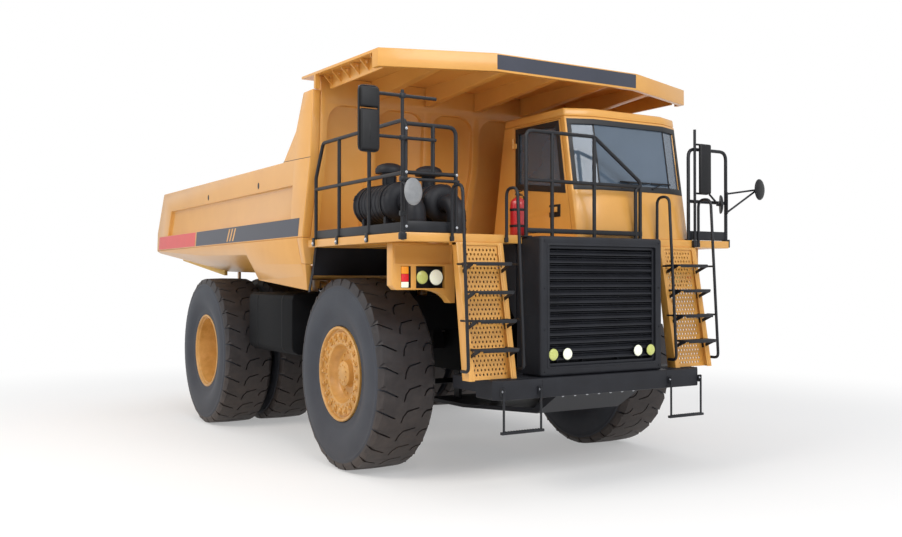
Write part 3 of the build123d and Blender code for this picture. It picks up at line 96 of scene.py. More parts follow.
class Bench:
    """Modelling steps that make and shape meshes with Blender's own operators."""

    @staticmethod
    def clear() -> None:
        """Leave edit mode and deselect everything."""
        if bpy.context.object is not None and bpy.context.object.mode != "OBJECT":
            bpy.ops.object.mode_set(mode="OBJECT")
        for chosen in list(bpy.context.selected_objects):
            chosen.select_set(False)

    @staticmethod
    def only(piece: Piece) -> None:
        """Make one piece the only selected one, and active.

        Args:
            piece: The piece.
        """
        Bench.clear()
        piece.select_set(True)
        bpy.context.view_layer.objects.active = piece

    @staticmethod
    def edit(piece: Piece) -> None:
        """Open one piece in edit mode with everything selected.

        Args:
            piece: The piece.
        """
        Bench.only(piece)
        bpy.ops.object.mode_set(mode="EDIT")
        bpy.ops.mesh.select_all(action="SELECT")

    @staticmethod
    def weld() -> None:
        """Merge doubled vertices in edit mode, turn the faces outwards and go back to object mode."""
        bpy.ops.mesh.select_all(action="SELECT")
        bpy.ops.mesh.remove_doubles(threshold=WELD)
        bpy.ops.mesh.normals_make_consistent(inside=False)
        bpy.ops.object.mode_set(mode="OBJECT")

    @staticmethod
    def settle(piece: Piece) -> Piece:
        """Put the piece's place, turn and size into its mesh.

        Args:
            piece: The piece.

        Returns:
            The same piece.
        """
        Bench.only(piece)
        bpy.ops.object.transform_apply(location=True, rotation=True, scale=True)
        return piece

    @staticmethod
    def aim(centre: Point, axis: Point) -> Matrix:
        """Moves the origin to a point and turns +Z to look along an axis."""
        turn = Vector(axis).normalized().to_track_quat("Z", "Y").to_matrix().to_4x4()
        return Matrix.Translation(Vector(centre)) @ turn

    @staticmethod
    def around(count: int, start: float = 0.0, axis: str = "X", centre: Point = ORIGIN) -> list[Matrix]:
        """Turns that set copies at equal steps round an axis.

        Args:
            count: Number of copies.
            start: Angle of the first one.
            axis: Name of the axis.
            centre: Point on the axis.

        Returns:
            A matrix for each copy.
        """
        there = Matrix.Translation(centre)
        return [there @ Matrix.Rotation(start + FULL_TURN * index / count, 4, axis) @ there.inverted()
                for index in range(count)]

    @staticmethod
    def block(start: Point, end: Point, bevel: float = 0.004, segments: int = 2) -> Piece:
        """A box between two opposite corners with rounded edges.

        Args:
            start: One corner.
            end: The opposite corner.
            bevel: Width of the rounding, at most 0.45 of the shortest side.
            segments: Steps of the rounding.

        Returns:
            The new piece.
        """
        Bench.clear()
        middle = [(a + b) / 2 for a, b in zip(start, end)]
        size = [abs(b - a) for a, b in zip(start, end)]
        bpy.ops.mesh.primitive_cube_add(size=1, location=middle, scale=size)
        piece = Bench.settle(bpy.context.object)
        if bevel > 0:
            Bench.edit(piece)
            bpy.ops.mesh.bevel(offset=min(bevel, min(size) * 0.45), segments=segments, affect="EDGES")
            bpy.ops.object.mode_set(mode="OBJECT")
        return piece

    @staticmethod
    def lathe(centre: Point, axis: Point, profile: list[Flat], sides: int = 48, closed: bool = False) -> Piece:
        """A turned piece, from one vertex extruded along its profile and spun round.

        Args:
            centre: Point on the axis from which distances count.
            axis: Direction of the axis.
            profile: (distance along the axis, radius) points.
            sides: Steps round the axis.
            closed: Join the profile's last point to its first, for a ring.

        Returns:
            The new piece.
        """
        Bench.clear()
        bpy.ops.mesh.primitive_plane_add(size=1, location=ORIGIN)
        piece = bpy.context.object
        Bench.edit(piece)
        bpy.ops.mesh.merge(type="CENTER")
        points = [Vector((radius, 0, along)) for along, radius in profile + (profile[:1] if closed else [])]
        bpy.ops.transform.translate(value=points[0])
        for here, there in zip(points, points[1:]):
            bpy.ops.mesh.extrude_region_move(TRANSFORM_OT_translate={"value": there - here})
        bpy.ops.mesh.select_all(action="SELECT")
        bpy.ops.mesh.spin(steps=sides, angle=FULL_TURN, center=ORIGIN, axis=UPWARDS)
        Bench.weld()
        piece.data.transform(Bench.aim(centre, axis))
        return piece

    @staticmethod
    def ring(centre: Point, axis: Point, radii: Flat, width: float, sides: int) -> Piece:
        """A flat band round an axis, from a point on it onwards."""
        inner, outer = radii
        return Bench.lathe(centre, axis, [(0, inner), (0, outer), (width, outer), (width, inner)], sides, closed=True)

    @staticmethod
    def draw(curve: bpy.types.Curve, lines: list[list[Point]], closed: bool) -> Piece:
        """Draw straight-sided lines in a curve and turn it into a mesh.

        Args:
            curve: The curve with its thickness set.
            lines: Points of each line.
            closed: Join each line's end to its start.

        Returns:
            The new piece.
        """
        for line in lines:
            spline = curve.splines.new("POLY")
            spline.points.add(len(line) - 1)
            for point, place in zip(spline.points, line):
                point.co = (*place, 1)
            spline.use_cyclic_u = closed
        drawn = bpy.data.objects.new(curve.name, curve)
        bpy.context.scene.collection.objects.link(drawn)
        Bench.only(drawn)
        bpy.ops.object.convert(target="MESH")
        return bpy.context.object

    @staticmethod
    def plate(loops: list[list[Flat]], thickness: float, place: Matrix, edge: float = 0.0) -> Piece:
        """A flat plate with holes, from a filled flat curve.

        Args:
            loops: The outline first, then each hole, as flat points.
            thickness: Thickness along the plane's normal, half on each side.
            place: Turns and moves the flat plane into the truck's frame.
            edge: Rounding of the rims.

        Returns:
            The new piece.
        """
        Bench.clear()
        flat = bpy.data.curves.new("plate", "CURVE")
        flat.dimensions, flat.fill_mode = "2D", "BOTH"
        flat.extrude, flat.bevel_depth, flat.offset = thickness / 2 - edge, edge, -edge
        flat.bevel_resolution = 1
        piece = Bench.draw(flat, [[(u, v, 0) for u, v in loop] for loop in loops], True)
        Bench.edit(piece)
        Bench.weld()
        piece.data.transform(place)
        if place.determinant() < 0:
            piece.data.flip_normals()
        return piece

    @staticmethod
    def side_plate(loops: list[list[Flat]], x_span: Flat, edge: float = 0.0) -> Piece:
        """A plate of (y, z) loops between two X values."""
        place = Matrix(((0, 0, 1, sum(x_span) / 2), (1, 0, 0, 0), (0, 1, 0, 0), (0, 0, 0, 1)))
        return Bench.plate(loops, abs(x_span[1] - x_span[0]), place, edge)

    @staticmethod
    def front_plate(loops: list[list[Flat]], y_span: Flat, edge: float = 0.0) -> Piece:
        """A plate of (x, z) loops between two Y values."""
        place = Matrix(((1, 0, 0, 0), (0, 0, -1, sum(y_span) / 2), (0, 1, 0, 0), (0, 0, 0, 1)))
        return Bench.plate(loops, abs(y_span[1] - y_span[0]), place, edge)

    @staticmethod
    def pipe(points: list[Point], radius: float, bend: float = 0.0, sides: int = 3, closed: bool = False) -> Piece:
        """A round bar along straight runs whose corners are bent to a radius.

        Args:
            points: Corners of the path.
            radius: Radius of the bar.
            bend: Radius of the bends, less where a run is too short for it.
            sides: Bevel resolution of the curve.
            closed: Join the path's end to its start.

        Returns:
            The new piece.
        """
        path = [Vector(point) for point in points]
        rounded: list[Vector] = []
        count, steps = len(path), 5
        for index, corner in enumerate(path):
            if bend <= 0 or (not closed and index in (0, count - 1)):
                rounded.append(corner)
                continue
            back, ahead = path[index - 1] - corner, path[(index + 1) % count] - corner
            angle = back.angle(ahead)
            reach = min(bend / max(math.tan(angle / 2), 0.05), back.length * 0.45, ahead.length * 0.45)
            start, end = corner + back.normalized() * reach, corner + ahead.normalized() * reach
            for share in (step / steps for step in range(steps + 1)):
                rounded.append(start.lerp(corner, share).lerp(corner.lerp(end, share), share))
        Bench.clear()
        line = bpy.data.curves.new("pipe", "CURVE")
        line.dimensions, line.bevel_depth, line.bevel_resolution = "3D", radius, sides
        line.use_fill_caps = not closed
        return Bench.draw(line, [rounded], closed)

    @staticmethod
    def copies(piece: Piece, places: list[Matrix], keep: bool = False) -> list[Piece]:
        """Copies of a piece, each with a mesh of its own.

        Args:
            piece: The modelled piece.
            places: A matrix for each copy.
            keep: Leave the modelled piece itself in the scene.

        Returns:
            The copies.
        """
        made = []
        for place in places:
            twin = piece.copy()
            twin.data = piece.data.copy()
            twin.data.transform(place)
            if place.determinant() < 0:
                twin.data.flip_normals()
            bpy.context.scene.collection.objects.link(twin)
            made.append(twin)
        if not keep:
            bpy.data.objects.remove(piece)
        return made

    @staticmethod
    def joined(pieces: list[Piece]) -> Piece:
        """Join pieces into the first one.

        Args:
            pieces: One piece or more.

        Returns:
            The first piece with the meshes of all.
        """
        if len(pieces) > 1:
            Bench.clear()
            for piece in pieces:
                piece.select_set(True)
            bpy.context.view_layer.objects.active = pieces[0]
            bpy.ops.object.join()
        return pieces[0]

    @staticmethod
    def cut(piece: Piece, cutter: Piece) -> None:
        """Cut a closed form out of a piece, and remove the form.

        Args:
            piece: The piece.
            cutter: The closed form.
        """
        Bench.only(piece)
        step = piece.modifiers.new("cut", "BOOLEAN")
        step.operation, step.solver, step.object = "DIFFERENCE", "EXACT", cutter
        bpy.ops.object.modifier_apply(modifier=step.name)
        bpy.data.objects.remove(cutter)

    @staticmethod
    def both_sides(piece: Piece) -> Piece:
        """The piece and its mirrored copy on the truck's other side as one."""
        return Bench.joined([piece, *Bench.copies(piece, [Matrix.Scale(-1, 4, SIDEWAYS)], keep=True)])

    @staticmethod
    def bolts(places: list[Point], facing: Point, radius: float = 0.016) -> Piece:
        """Hexagon bolt heads on washers, looking one way.

        Args:
            places: Middles of the faces that they sit on.
            facing: Direction that the heads look.
            radius: Corner radius of the heads.

        Returns:
            All the bolts as one piece.
        """
        r = radius
        washer = Bench.lathe(ORIGIN, UPWARDS, [(-0.002, 0), (-0.002, r * 1.35), (r * 0.2, r * 1.35), (r * 0.28, 0)],
                             16)
        head = Bench.lathe(ORIGIN, UPWARDS, [(0, 0), (0, r), (r * 0.75, r), (r * 0.9, r * 0.82), (r * 0.9, 0)], 6)
        bolt = Bench.joined([washer, head])
        return Bench.joined(Bench.copies(bolt, [Bench.aim(place, facing) for place in places]))

    @staticmethod
    def hand_in(piece: Piece, name: str, body: str, finish: "Finish", slot: str,
                replaced: tuple[str, ...] = (), angle: float = 35.0) -> None:
        """Name, smooth and dress a finished piece, and fix it to the body that carries it.

        Args:
            piece: The finished piece.
            name: Its name.
            body: The moving or fixed body that carries it.
            finish: Its surface.
            slot: Material slot of the record; not used.
            replaced: Solids of the frame that it stands for.
            angle: Edges sharper than this stay sharp, in degrees.
        """
        Bench.only(piece)
        piece.name = name
        bpy.ops.object.shade_smooth_by_angle(angle=math.radians(angle))
        piece.data.materials.clear()
        piece.data.materials.append(finish.material())
        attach(piece, body)
        if replaced:
            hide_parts(*replaced)
        LOG.info("%s rides on %s, %d faces", name, body, len(piece.data.polygons))


def linear(code: str) -> tuple[float, float, float, float]:
    """An sRGB hex colour as linear values."""
    shares = [int(code[index:index + 2], 16) / 255 for index in (1, 3, 5)]
    return (*(c / 12.92 if c <= 0.04045 else ((c + 0.055) / 1.055) ** 2.4 for c in shares), 1.0)


def add_node(tree: bpy.types.NodeTree, kind: str, settings: dict[str, object],
             links: dict[str, bpy.types.NodeSocket]) -> bpy.types.Node:
    """Add a node with its settings and links.

    Args:
        tree: The material's or world's node tree.
        kind: Type name of the node.
        settings: Attributes of the node, or values of its inputs where they name one.
        links: Inputs and the outputs that feed them.

    Returns:
        The new node.
    """
    node = tree.nodes.new(kind)
    for name, value in settings.items():
        if name in node.inputs:
            node.inputs[name].default_value = value
        else:
            setattr(node, name, value)
    for name, output in links.items():
        tree.links.new(output, node.inputs[int(name)] if name.isdigit() else node.inputs[name])
    return node


# Colour of the dust, sRGB, and the height where it ends; on the tread this brown is also a painted highlight
DUST_AND_SHEEN_COLOUR = "#6E5A48"
DUST_AND_SHEEN_TOP = 1.4


@dataclass(frozen=True)
class Finish:
    """A surface: what it is made of and how it was made.

    Attributes:
        name: The real material and process.
        colour: Its main colour, sRGB.
        shade: The colour of its darker patches, sRGB.
        rough: Mean roughness.
        rough_swing: How far the roughness goes up and down.
        metallic: 1 for bare metal.
        patch_mm: Size of the colour patches.
        grain_mm: Size of the surface grain.
        grain_depth_mm: Depth of the surface grain.
        coat: Weight of a clear coat.
        clear: Share of the light that passes through.
        dust_and_sheen: Weight of the brown dust on what is near the ground; on the tread it is also a painted
            brownish highlight.
        glow: Strength of the light that it gives.
        shine: Level of the reflections, 0.5 for plain paint.
    """

    name: str
    colour: str
    shade: str
    rough: float = 0.45
    rough_swing: float = 0.05
    metallic: float = 0.0
    patch_mm: float = 400.0
    grain_mm: float = 6.0
    grain_depth_mm: float = 0.05
    coat: float = 0.0
    clear: float = 0.0
    dust_and_sheen: float = 0.0
    glow: float = 0.0
    shine: float = 0.5

    def material(self) -> bpy.types.Material:
        """The material of this finish, made once.

        Returns:
            The material with its nodes.
        """
        found = bpy.data.materials.get(self.name)
        if found is not None:
            return found
        made = bpy.data.materials.new(self.name)
        made.use_nodes = True
        tree = made.node_tree
        tree.nodes.clear()
        place = add_node(tree, "ShaderNodeTexCoord", {}, {}).outputs["Object"]
        patches = add_node(tree, "ShaderNodeTexNoise", {"Scale": 1000 / self.patch_mm, "Detail": 4.0,
                                                        "Roughness": 0.6}, {"Vector": place})
        grain = add_node(tree, "ShaderNodeTexNoise", {"Scale": 1000 / self.grain_mm, "Detail": 2.0},
                         {"Vector": place})
        spread = add_node(tree, "ShaderNodeMapRange", {"From Min": 0.32, "From Max": 0.68},
                          {"Value": patches.outputs["Fac"]})
        colour = add_node(tree, "ShaderNodeMix", {"data_type": "RGBA"}, {"Factor": spread.outputs["Result"]})
        colour.inputs["A"].default_value = colour.inputs[6].default_value = linear(self.shade)
        colour.inputs["B"].default_value = colour.inputs[7].default_value = linear(self.colour)
        tone = colour.outputs[2]
        # Brown mixed in towards the ground: dust, and on the tread also a painted brownish highlight
        if self.dust_and_sheen > 0:
            height = add_node(tree, "ShaderNodeSeparateXYZ", {}, {"Vector": place})
            low = add_node(tree, "ShaderNodeMapRange", {"From Min": DUST_AND_SHEEN_TOP, "From Max": 0.1, "To Max": self.dust_and_sheen},
                           {"Value": height.outputs["Z"]})
            share = add_node(tree, "ShaderNodeMath", {"operation": "MULTIPLY"},
                             {"0": low.outputs["Result"], "1": patches.outputs["Fac"]})
            dust_and_sheen_tone = add_node(tree, "ShaderNodeMix", {"data_type": "RGBA"}, {"Factor": share.outputs["Value"]})
            dust_and_sheen_tone.inputs[7].default_value = linear(DUST_AND_SHEEN_COLOUR)
            tree.links.new(tone, dust_and_sheen_tone.inputs[6])
            tone = dust_and_sheen_tone.outputs[2]
        rough = add_node(tree, "ShaderNodeMapRange", {"To Min": self.rough - self.rough_swing,
                                                      "To Max": self.rough + self.rough_swing},
                         {"Value": patches.outputs["Fac"]})
        bump = add_node(tree, "ShaderNodeBump", {"Strength": 0.5, "Distance": self.grain_depth_mm / 1000},
                        {"Height": grain.outputs["Fac"]})
        values = {"Metallic": self.metallic, "Coat Weight": self.coat, "Coat Roughness": 0.12,
                  "Transmission Weight": self.clear, "Specular IOR Level": self.shine}
        if self.glow > 0:
            values |= {"Emission Color": linear(self.colour), "Emission Strength": self.glow}
        shader = add_node(tree, "ShaderNodeBsdfPrincipled", values,
                          {"Base Color": tone, "Roughness": rough.outputs["Result"],
                           "Normal": bump.outputs["Normal"]})
        add_node(tree, "ShaderNodeOutputMaterial", {}, {"Surface": shader.outputs["BSDF"]})
        return made


# Two-pack enamel sprayed on welded plate: satin and even, with a faint orange peel and a thin clear coat
YELLOW = Finish("sprayed_yellow_enamel", "#DFA553", "#D89C48", rough=0.4, patch_mm=700, grain_mm=9,
                grain_depth_mm=0.06, coat=0.3, dust_and_sheen=0.12)
# The same enamel on the rims: deeper in tone, with small dull patches and road dust
RIM_YELLOW = Finish("sprayed_rim_enamel", "#D9A55C", "#BE8A40", rough=0.38, patch_mm=160, grain_mm=7, dust_and_sheen=0.2)
# Powder coat baked on steel sheet: slate black with a fine even texture and soft highlights
BLACK = Finish("baked_black_powder_coat", "#24262C", "#1D1E23", rough=0.5, patch_mm=350, grain_mm=4,
               grain_depth_mm=0.08, dust_and_sheen=0.04, shine=0.25)
# Powder coat on tubes and treads: a little darker and smoother, so that the tubes catch a thin line of light
TUBE_BLACK = Finish("powder_coated_steel_tube", "#202227", "#1A1B1F", rough=0.42, patch_mm=120, grain_mm=3,
                    shine=0.3)
# Chassis paint rolled on cast and welded steel: dull and coarse; its near black is dark paint, darkened further as
# painted shade for what stands in shadow under the truck
FRAME_PAINT_AND_SHADE = Finish("rolled_chassis_paint", "#141518", "#0E0F11", rough=0.6, patch_mm=250, grain_mm=12,
               grain_depth_mm=0.3, dust_and_sheen=0.04, shine=0.1)
# Iron cast in sand: dull black skin with a rough grain
CASTING = Finish("sand_cast_iron", "#1C1C1E", "#141416", rough=0.65, patch_mm=90, grain_mm=6, grain_depth_mm=0.5,
                 shine=0.2)
# Rubber moulded for the sidewalls: slate grey with bloom, fine grained and matt
SIDEWALL = Finish("moulded_sidewall_rubber", "#3F434B", "#383B43", rough=0.6, patch_mm=300, grain_mm=5,
                  grain_depth_mm=0.1, dust_and_sheen=0.12, shine=0.3)
# Rubber worn by the ground: darker than the sidewall and rubbed smoother; its brown towards the ground is dust, and
# also a painted brownish highlight on the lower tread
TREAD = Finish("worn_tread_rubber", "#343133", "#272426", rough=0.56, patch_mm=140, grain_mm=8,
               grain_depth_mm=0.3, dust_and_sheen=0.4, shine=0.4)
# Black plastic from a textured mould: even and softly matt
TRIM = Finish("moulded_black_plastic", "#15161A", "#0F1013", rough=0.5, patch_mm=60, grain_mm=2, shine=0.3)
# Extruded rubber round the glass: a soft black line with hardly any highlight
RUBBER_SEAL = Finish("extruded_rubber_seal", "#191A1E", "#121316", rough=0.55, patch_mm=80, grain_mm=3)
# Zinc plating on bolts: bright specks of grey metal
ZINC = Finish("zinc_plated_steel", "#C9CBD0", "#A9ABB0", rough=0.32, metallic=1.0, patch_mm=12, grain_mm=2)
# Hard chrome ground round: a clean mirror on the cylinder rods
CHROME = Finish("ground_hard_chrome", "#D5D7DA", "#C6C8CC", rough=0.12, rough_swing=0.03, metallic=1.0,
                patch_mm=40, grain_mm=1.5, grain_depth_mm=0.01)
# Red enamel on the extinguisher's bottle: glossy, with a wet highlight
RED = Finish("sprayed_red_enamel", "#C4262B", "#AB1D22", rough=0.3, patch_mm=90, grain_mm=5, coat=0.3)
# Printed vinyl laid on the dump body: flat, even colour with a dull sheen
RED_FILM = Finish("red_vinyl_film", "#E0514F", "#D84745", rough=0.38, patch_mm=500, grain_mm=3)
# The same vinyl in slate: a dark band that stands off from the yellow
SLATE_FILM = Finish("slate_vinyl_film", "#383C49", "#333743", rough=0.38, patch_mm=500, grain_mm=3)
# Strip in pale primer that the load rubs: lighter and duller than the enamel beside it
PALE_YELLOW = Finish("bare_primed_wear_strip", "#F0C766", "#E6B955", rough=0.5, patch_mm=220, grain_mm=6)
# Laminated glass with a blue tint: see-through, with sharp reflections
GLASS = Finish("tinted_laminated_glass", "#7C8EA2", "#748699", rough=0.06, rough_swing=0.02, patch_mm=900,
               grain_mm=60, grain_depth_mm=0.02, clear=0.55)
# Fluted lens in yellow-green: small ripples and a faint light of its own
AMBER_LENS = Finish("yellow_green_lens", "#C6CC7C", "#B4BA62", rough=0.2, patch_mm=18, grain_mm=9,
                    grain_depth_mm=0.8, glow=0.12)
# Fluted lens in warm white: the brightest spots of the front
WHITE_LENS = Finish("fluted_white_lens", "#F3F5E2", "#E4E8CE", rough=0.18, patch_mm=18, grain_mm=9,
                    grain_depth_mm=0.8, glow=0.25)
# Acrylic moulded in orange: a glossy turn lamp
ORANGE_LENS = Finish("moulded_orange_lens", "#F4A02C", "#E88F1E", rough=0.22, patch_mm=15, grain_mm=6, glow=0.15)
# Acrylic moulded in red: a glossy brake lamp
RED_LENS = Finish("moulded_red_lens", "#E0262F", "#C81F28", rough=0.22, patch_mm=15, grain_mm=6, glow=0.15)
# Woven cloth on the seat: dark, deep-grained and without any shine
SEAT_CLOTH = Finish("woven_seat_cloth", "#2B2E36", "#1F2127", rough=0.85, patch_mm=9, grain_mm=5,
                    grain_depth_mm=0.6)
# Nylon moulded in grey: the pale back of the round mirror on the right
MIRROR_BACK = Finish("grey_moulded_nylon", "#8F9193", "#828487", rough=0.5, patch_mm=60, grain_mm=3)
# Silvered glass of the square mirrors: a slightly grey mirror image
MIRROR_GLASS = Finish("silvered_mirror_glass", "#9DA1A6", "#8B8F95", rough=0.08, rough_swing=0.03, metallic=1.0,
                      patch_mm=300, grain_mm=80, grain_depth_mm=0.01)


@dataclass
class Tyre:
    """An off-road tyre: casing with its beads, and blocks of tread with narrow grooves.

    Attributes:
        tip_radius: Radius over the tread.
        groove: Depth of the grooves.
        half_width: Half of the tread's width.
        pitches: Blocks round the tyre.
        gap: Width of a groove.
        bead_radius: Inner radius.
        shoulder: Width of each rounded shoulder.
        sides: Steps round the casing.
    """

    tip_radius: float = AXLE_Z - 0.001
    groove: float = 0.042
    half_width: float = 0.318
    pitches: int = 28
    gap: float = 0.02
    bead_radius: float = 0.534
    shoulder: float = 0.036
    sides: int = 112

    def casing(self) -> Piece:
        """The carcass round the X axis at the origin.

        Returns:
            The carcass, closed at the beads.
        """
        root = self.tip_radius - self.groove
        half = [(0.268, self.bead_radius), (0.300, self.bead_radius + 0.004), (0.312, self.bead_radius + 0.028),
                (0.308, self.bead_radius + 0.062), (0.318, 0.640), (0.349, 0.700), (0.366, 0.770), (0.3695, 0.830),
                (0.366, 0.880), (0.3565, 0.930), (0.3475, 0.965), (0.350, 0.972), (0.343, 0.990), (0.322, 1.022),
                (0.285, root), (0.15, root + 0.004), (0.0, root + 0.006)]
        profile = half + [(-x, r) for x, r in reversed(half[:-1])]
        return Bench.lathe(ORIGIN, SIDEWAYS, profile, self.sides, closed=True)

    def block(self, outline: list[Flat]) -> Piece:
        """One tread block, wrapped round the X axis, whose outer edges lean out to the sidewalls.

        Args:
            outline: (axial, circumferential) corners at the tip.

        Returns:
            The block.
        """
        piece = Bench.plate([outline], 0.002, Matrix.Translation((0, 0, -0.001)))
        Bench.only(piece)
        bpy.ops.object.mode_set(mode="EDIT")
        bpy.ops.mesh.select_all(action="DESELECT")
        bpy.ops.object.mode_set(mode="OBJECT")
        for face in piece.data.polygons:
            face.select = face.normal.z < -0.5
        bpy.ops.object.mode_set(mode="EDIT")
        bpy.ops.mesh.extrude_region_move(TRANSFORM_OT_translate={"value": (0, 0, -self.groove - 0.012)})
        low, high = min(v for _, v in outline), max(v for _, v in outline)
        cuts = [((0, low + (high - low) * share, 0), BACKWARDS) for share in (0.15, 0.3, 0.45, 0.6, 0.75, 0.9)]
        cuts += [((x, 0, 0), SIDEWAYS) for x in (self.shoulder - self.half_width, self.half_width - self.shoulder)]
        for place, facing in cuts:
            bpy.ops.mesh.select_all(action="SELECT")
            bpy.ops.mesh.bisect(plane_co=place, plane_no=facing)
        bpy.ops.mesh.select_all(action="SELECT")
        bpy.ops.mesh.normals_make_consistent(inside=False)
        bpy.ops.object.mode_set(mode="OBJECT")
        for vertex in piece.data.vertices:
            axial, along, height = vertex.co
            if abs(axial) > self.half_width - 0.002:
                drop, out = (0.05, 0.018) if height > -0.01 else (0.07, 0.03)
                height -= drop
                axial += math.copysign(out, axial)
            angle = along / self.tip_radius
            radius = self.tip_radius + height - 0.01 * (axial / self.half_width) ** 2
            vertex.co = (axial, math.sin(angle) * radius, -math.cos(angle) * radius)
        return piece

    def tread(self) -> Piece:
        """Blocks round the X axis, which touch where the groove between them has no width.

        Returns:
            The whole tread with its shoulder grooves and hooked middle grooves.
        """
        pitch = FULL_TURN * self.tip_radius / self.pitches
        half, gap = self.half_width, self.gap
        # The line between two blocks: axial place, place round the tyre, width of the groove there
        line = ((-half, 0.03, gap), (-0.29, 0.03, gap), (-0.235, 0.026, gap), (-0.2, -0.004, gap),
                (-0.185, -0.05, gap * 0.8), (-0.172, -0.052, 0), (-0.137, 0.062, 0), (-0.125, 0.064, gap * 0.8),
                (0.006, 0.032, gap), (0.046, -0.026, gap), (0.06, -0.1, gap * 0.8), (0.074, -0.104, 0),
                (0.132, -0.046, 0), (0.148, -0.042, gap * 0.8), (0.29, 0.026, gap), (half, 0.034, gap))
        lower, upper = [], []
        for before, (x, y, wide), after in zip((line[0], *line), line, (*line[1:], line[-1])):
            aside = math.atan2(after[1] - before[1], after[0] - before[0])
            across = 0 if abs(x) == half else math.sin(aside) * wide / 2
            along = math.cos(aside) * wide / 2 - pitch / 2
            lower.append((x - across, y + along))
            upper.append((x + across, y - along))
        block = self.block(lower + upper[::-1])
        return Bench.joined(Bench.copies(block, Bench.around(self.pitches)))

    def build(self) -> tuple[Piece, Piece]:
        """Casing and tread round the X axis at the origin, to be copied."""
        return self.casing(), self.tread()


@dataclass
class Rims:
    """Steel rims with their hubs.

    Attributes:
        seat: Radius of the bead seat.
        reach: Half of a twin rim's width.
        sides: Steps round the axle.
    """

    seat: float = 0.532
    reach: float = 0.715
    sides: int = 72

    def turned(self, profile: list[Flat]) -> Piece:
        """A piece turned round the X axis at the origin."""
        return Bench.lathe(ORIGIN, SIDEWAYS, profile, self.sides)

    @staticmethod
    def bolt_circle(along: float, radius: float, size: float, count: int, start: float = 0.0) -> list[Piece]:
        """Bolts at equal steps round the X axis that look along it.

        Args:
            along: Place of the face that they sit on.
            radius: Radius of the circle.
            size: Corner radius of the heads.
            count: Number of bolts.
            start: Angle of the first one.

        Returns:
            The bolts.
        """
        return Bench.copies(Bench.bolts([(along, 0, radius)], SIDEWAYS, size), Bench.around(count, start))

    def front(self) -> Piece:
        """A front rim: flange, bolted band, dish and hub cap, looking along +X from the origin.

        Returns:
            The rim.
        """
        parts = [self.turned([(-0.325, self.seat), (-0.31, self.seat), (0.27, self.seat), (0.30, self.seat),
                              (0.322, 0.536), (0.33, 0.528), (0.33, 0.512), (0.318, 0.502), (0.292, 0.497),
                              (0.286, 0.478), (0.296, 0.474), (0.3, 0.464), (0.3, 0.344), (0.292, 0.333),
                              (0.262, 0.325), (0.206, 0.302), (0.19, 0.287), (0.19, 0.163), (0.2, 0.153),
                              (0.21, 0.15), (0.262, 0.143), (0.27, 0.134), (0.278, 0.12), (0.284, 0.06),
                              (0.285, 0.0)]),
                 self.turned([(-0.32, 0.531), (-0.32, 0.475), (0.1, 0.46), (0.16, 0.32), (0.16, 0.115)])]
        parts += Bench.copies(Bench.block((0.297, -0.024, 0.385), (0.316, 0.024, 0.463), 0.006), Bench.around(20))
        parts += self.bolt_circle(0.316, 0.43, 0.019, 20) + self.bolt_circle(0.3, 0.37, 0.013, 20, math.pi / 20)
        parts += self.bolt_circle(0.278, 0.095, 0.011, 10) + self.bolt_circle(0.19, 0.235, 0.014, 16, math.pi / 16)
        valve = Bench.pipe([(0.3, 0.36, 0.33), (0.325, 0.37, 0.335), (0.328, 0.40, 0.36)], 0.006, 0.01)
        return Bench.joined([*parts, valve])

    def rear(self) -> Piece:
        """A twin rear rim: a deep dish outside, looking along +X from the middle of the twins.

        Returns:
            The rim.
        """
        reach = self.reach
        parts = [self.turned([(-reach, self.seat), (-0.1, self.seat), (0.1, self.seat), (reach - 0.02, self.seat),
                              (reach - 0.004, 0.537), (reach, 0.528), (reach, 0.514), (reach - 0.012, 0.503),
                              (reach - 0.036, 0.498), (reach - 0.044, 0.486), (reach - 0.1, 0.478), (0.39, 0.452),
                              (0.36, 0.44), (0.352, 0.425), (0.35, 0.3), (0.358, 0.29), (0.41, 0.275), (0.43, 0.262),
                              (0.434, 0.24), (0.434, 0.16), (0.442, 0.15), (0.476, 0.14), (0.482, 0.12),
                              (0.484, 0.0)]),
                 self.turned([(-reach, 0.531), (-reach, 0.485), (0.1, 0.47), (0.14, 0.34), (0.14, 0.16)])]
        parts += self.bolt_circle(0.351, 0.37, 0.02, 20)
        parts += Bench.copies(Bench.block((0.347, -0.02, 0.345), (0.356, 0.02, 0.41)), Bench.around(20))
        parts += self.bolt_circle(0.434, 0.21, 0.014, 14)
        lock_ring = self.turned([(0.42, 0.5), (0.43, 0.486), (0.45, 0.486), (0.46, 0.5)])
        return Bench.joined([*parts, lock_ring])


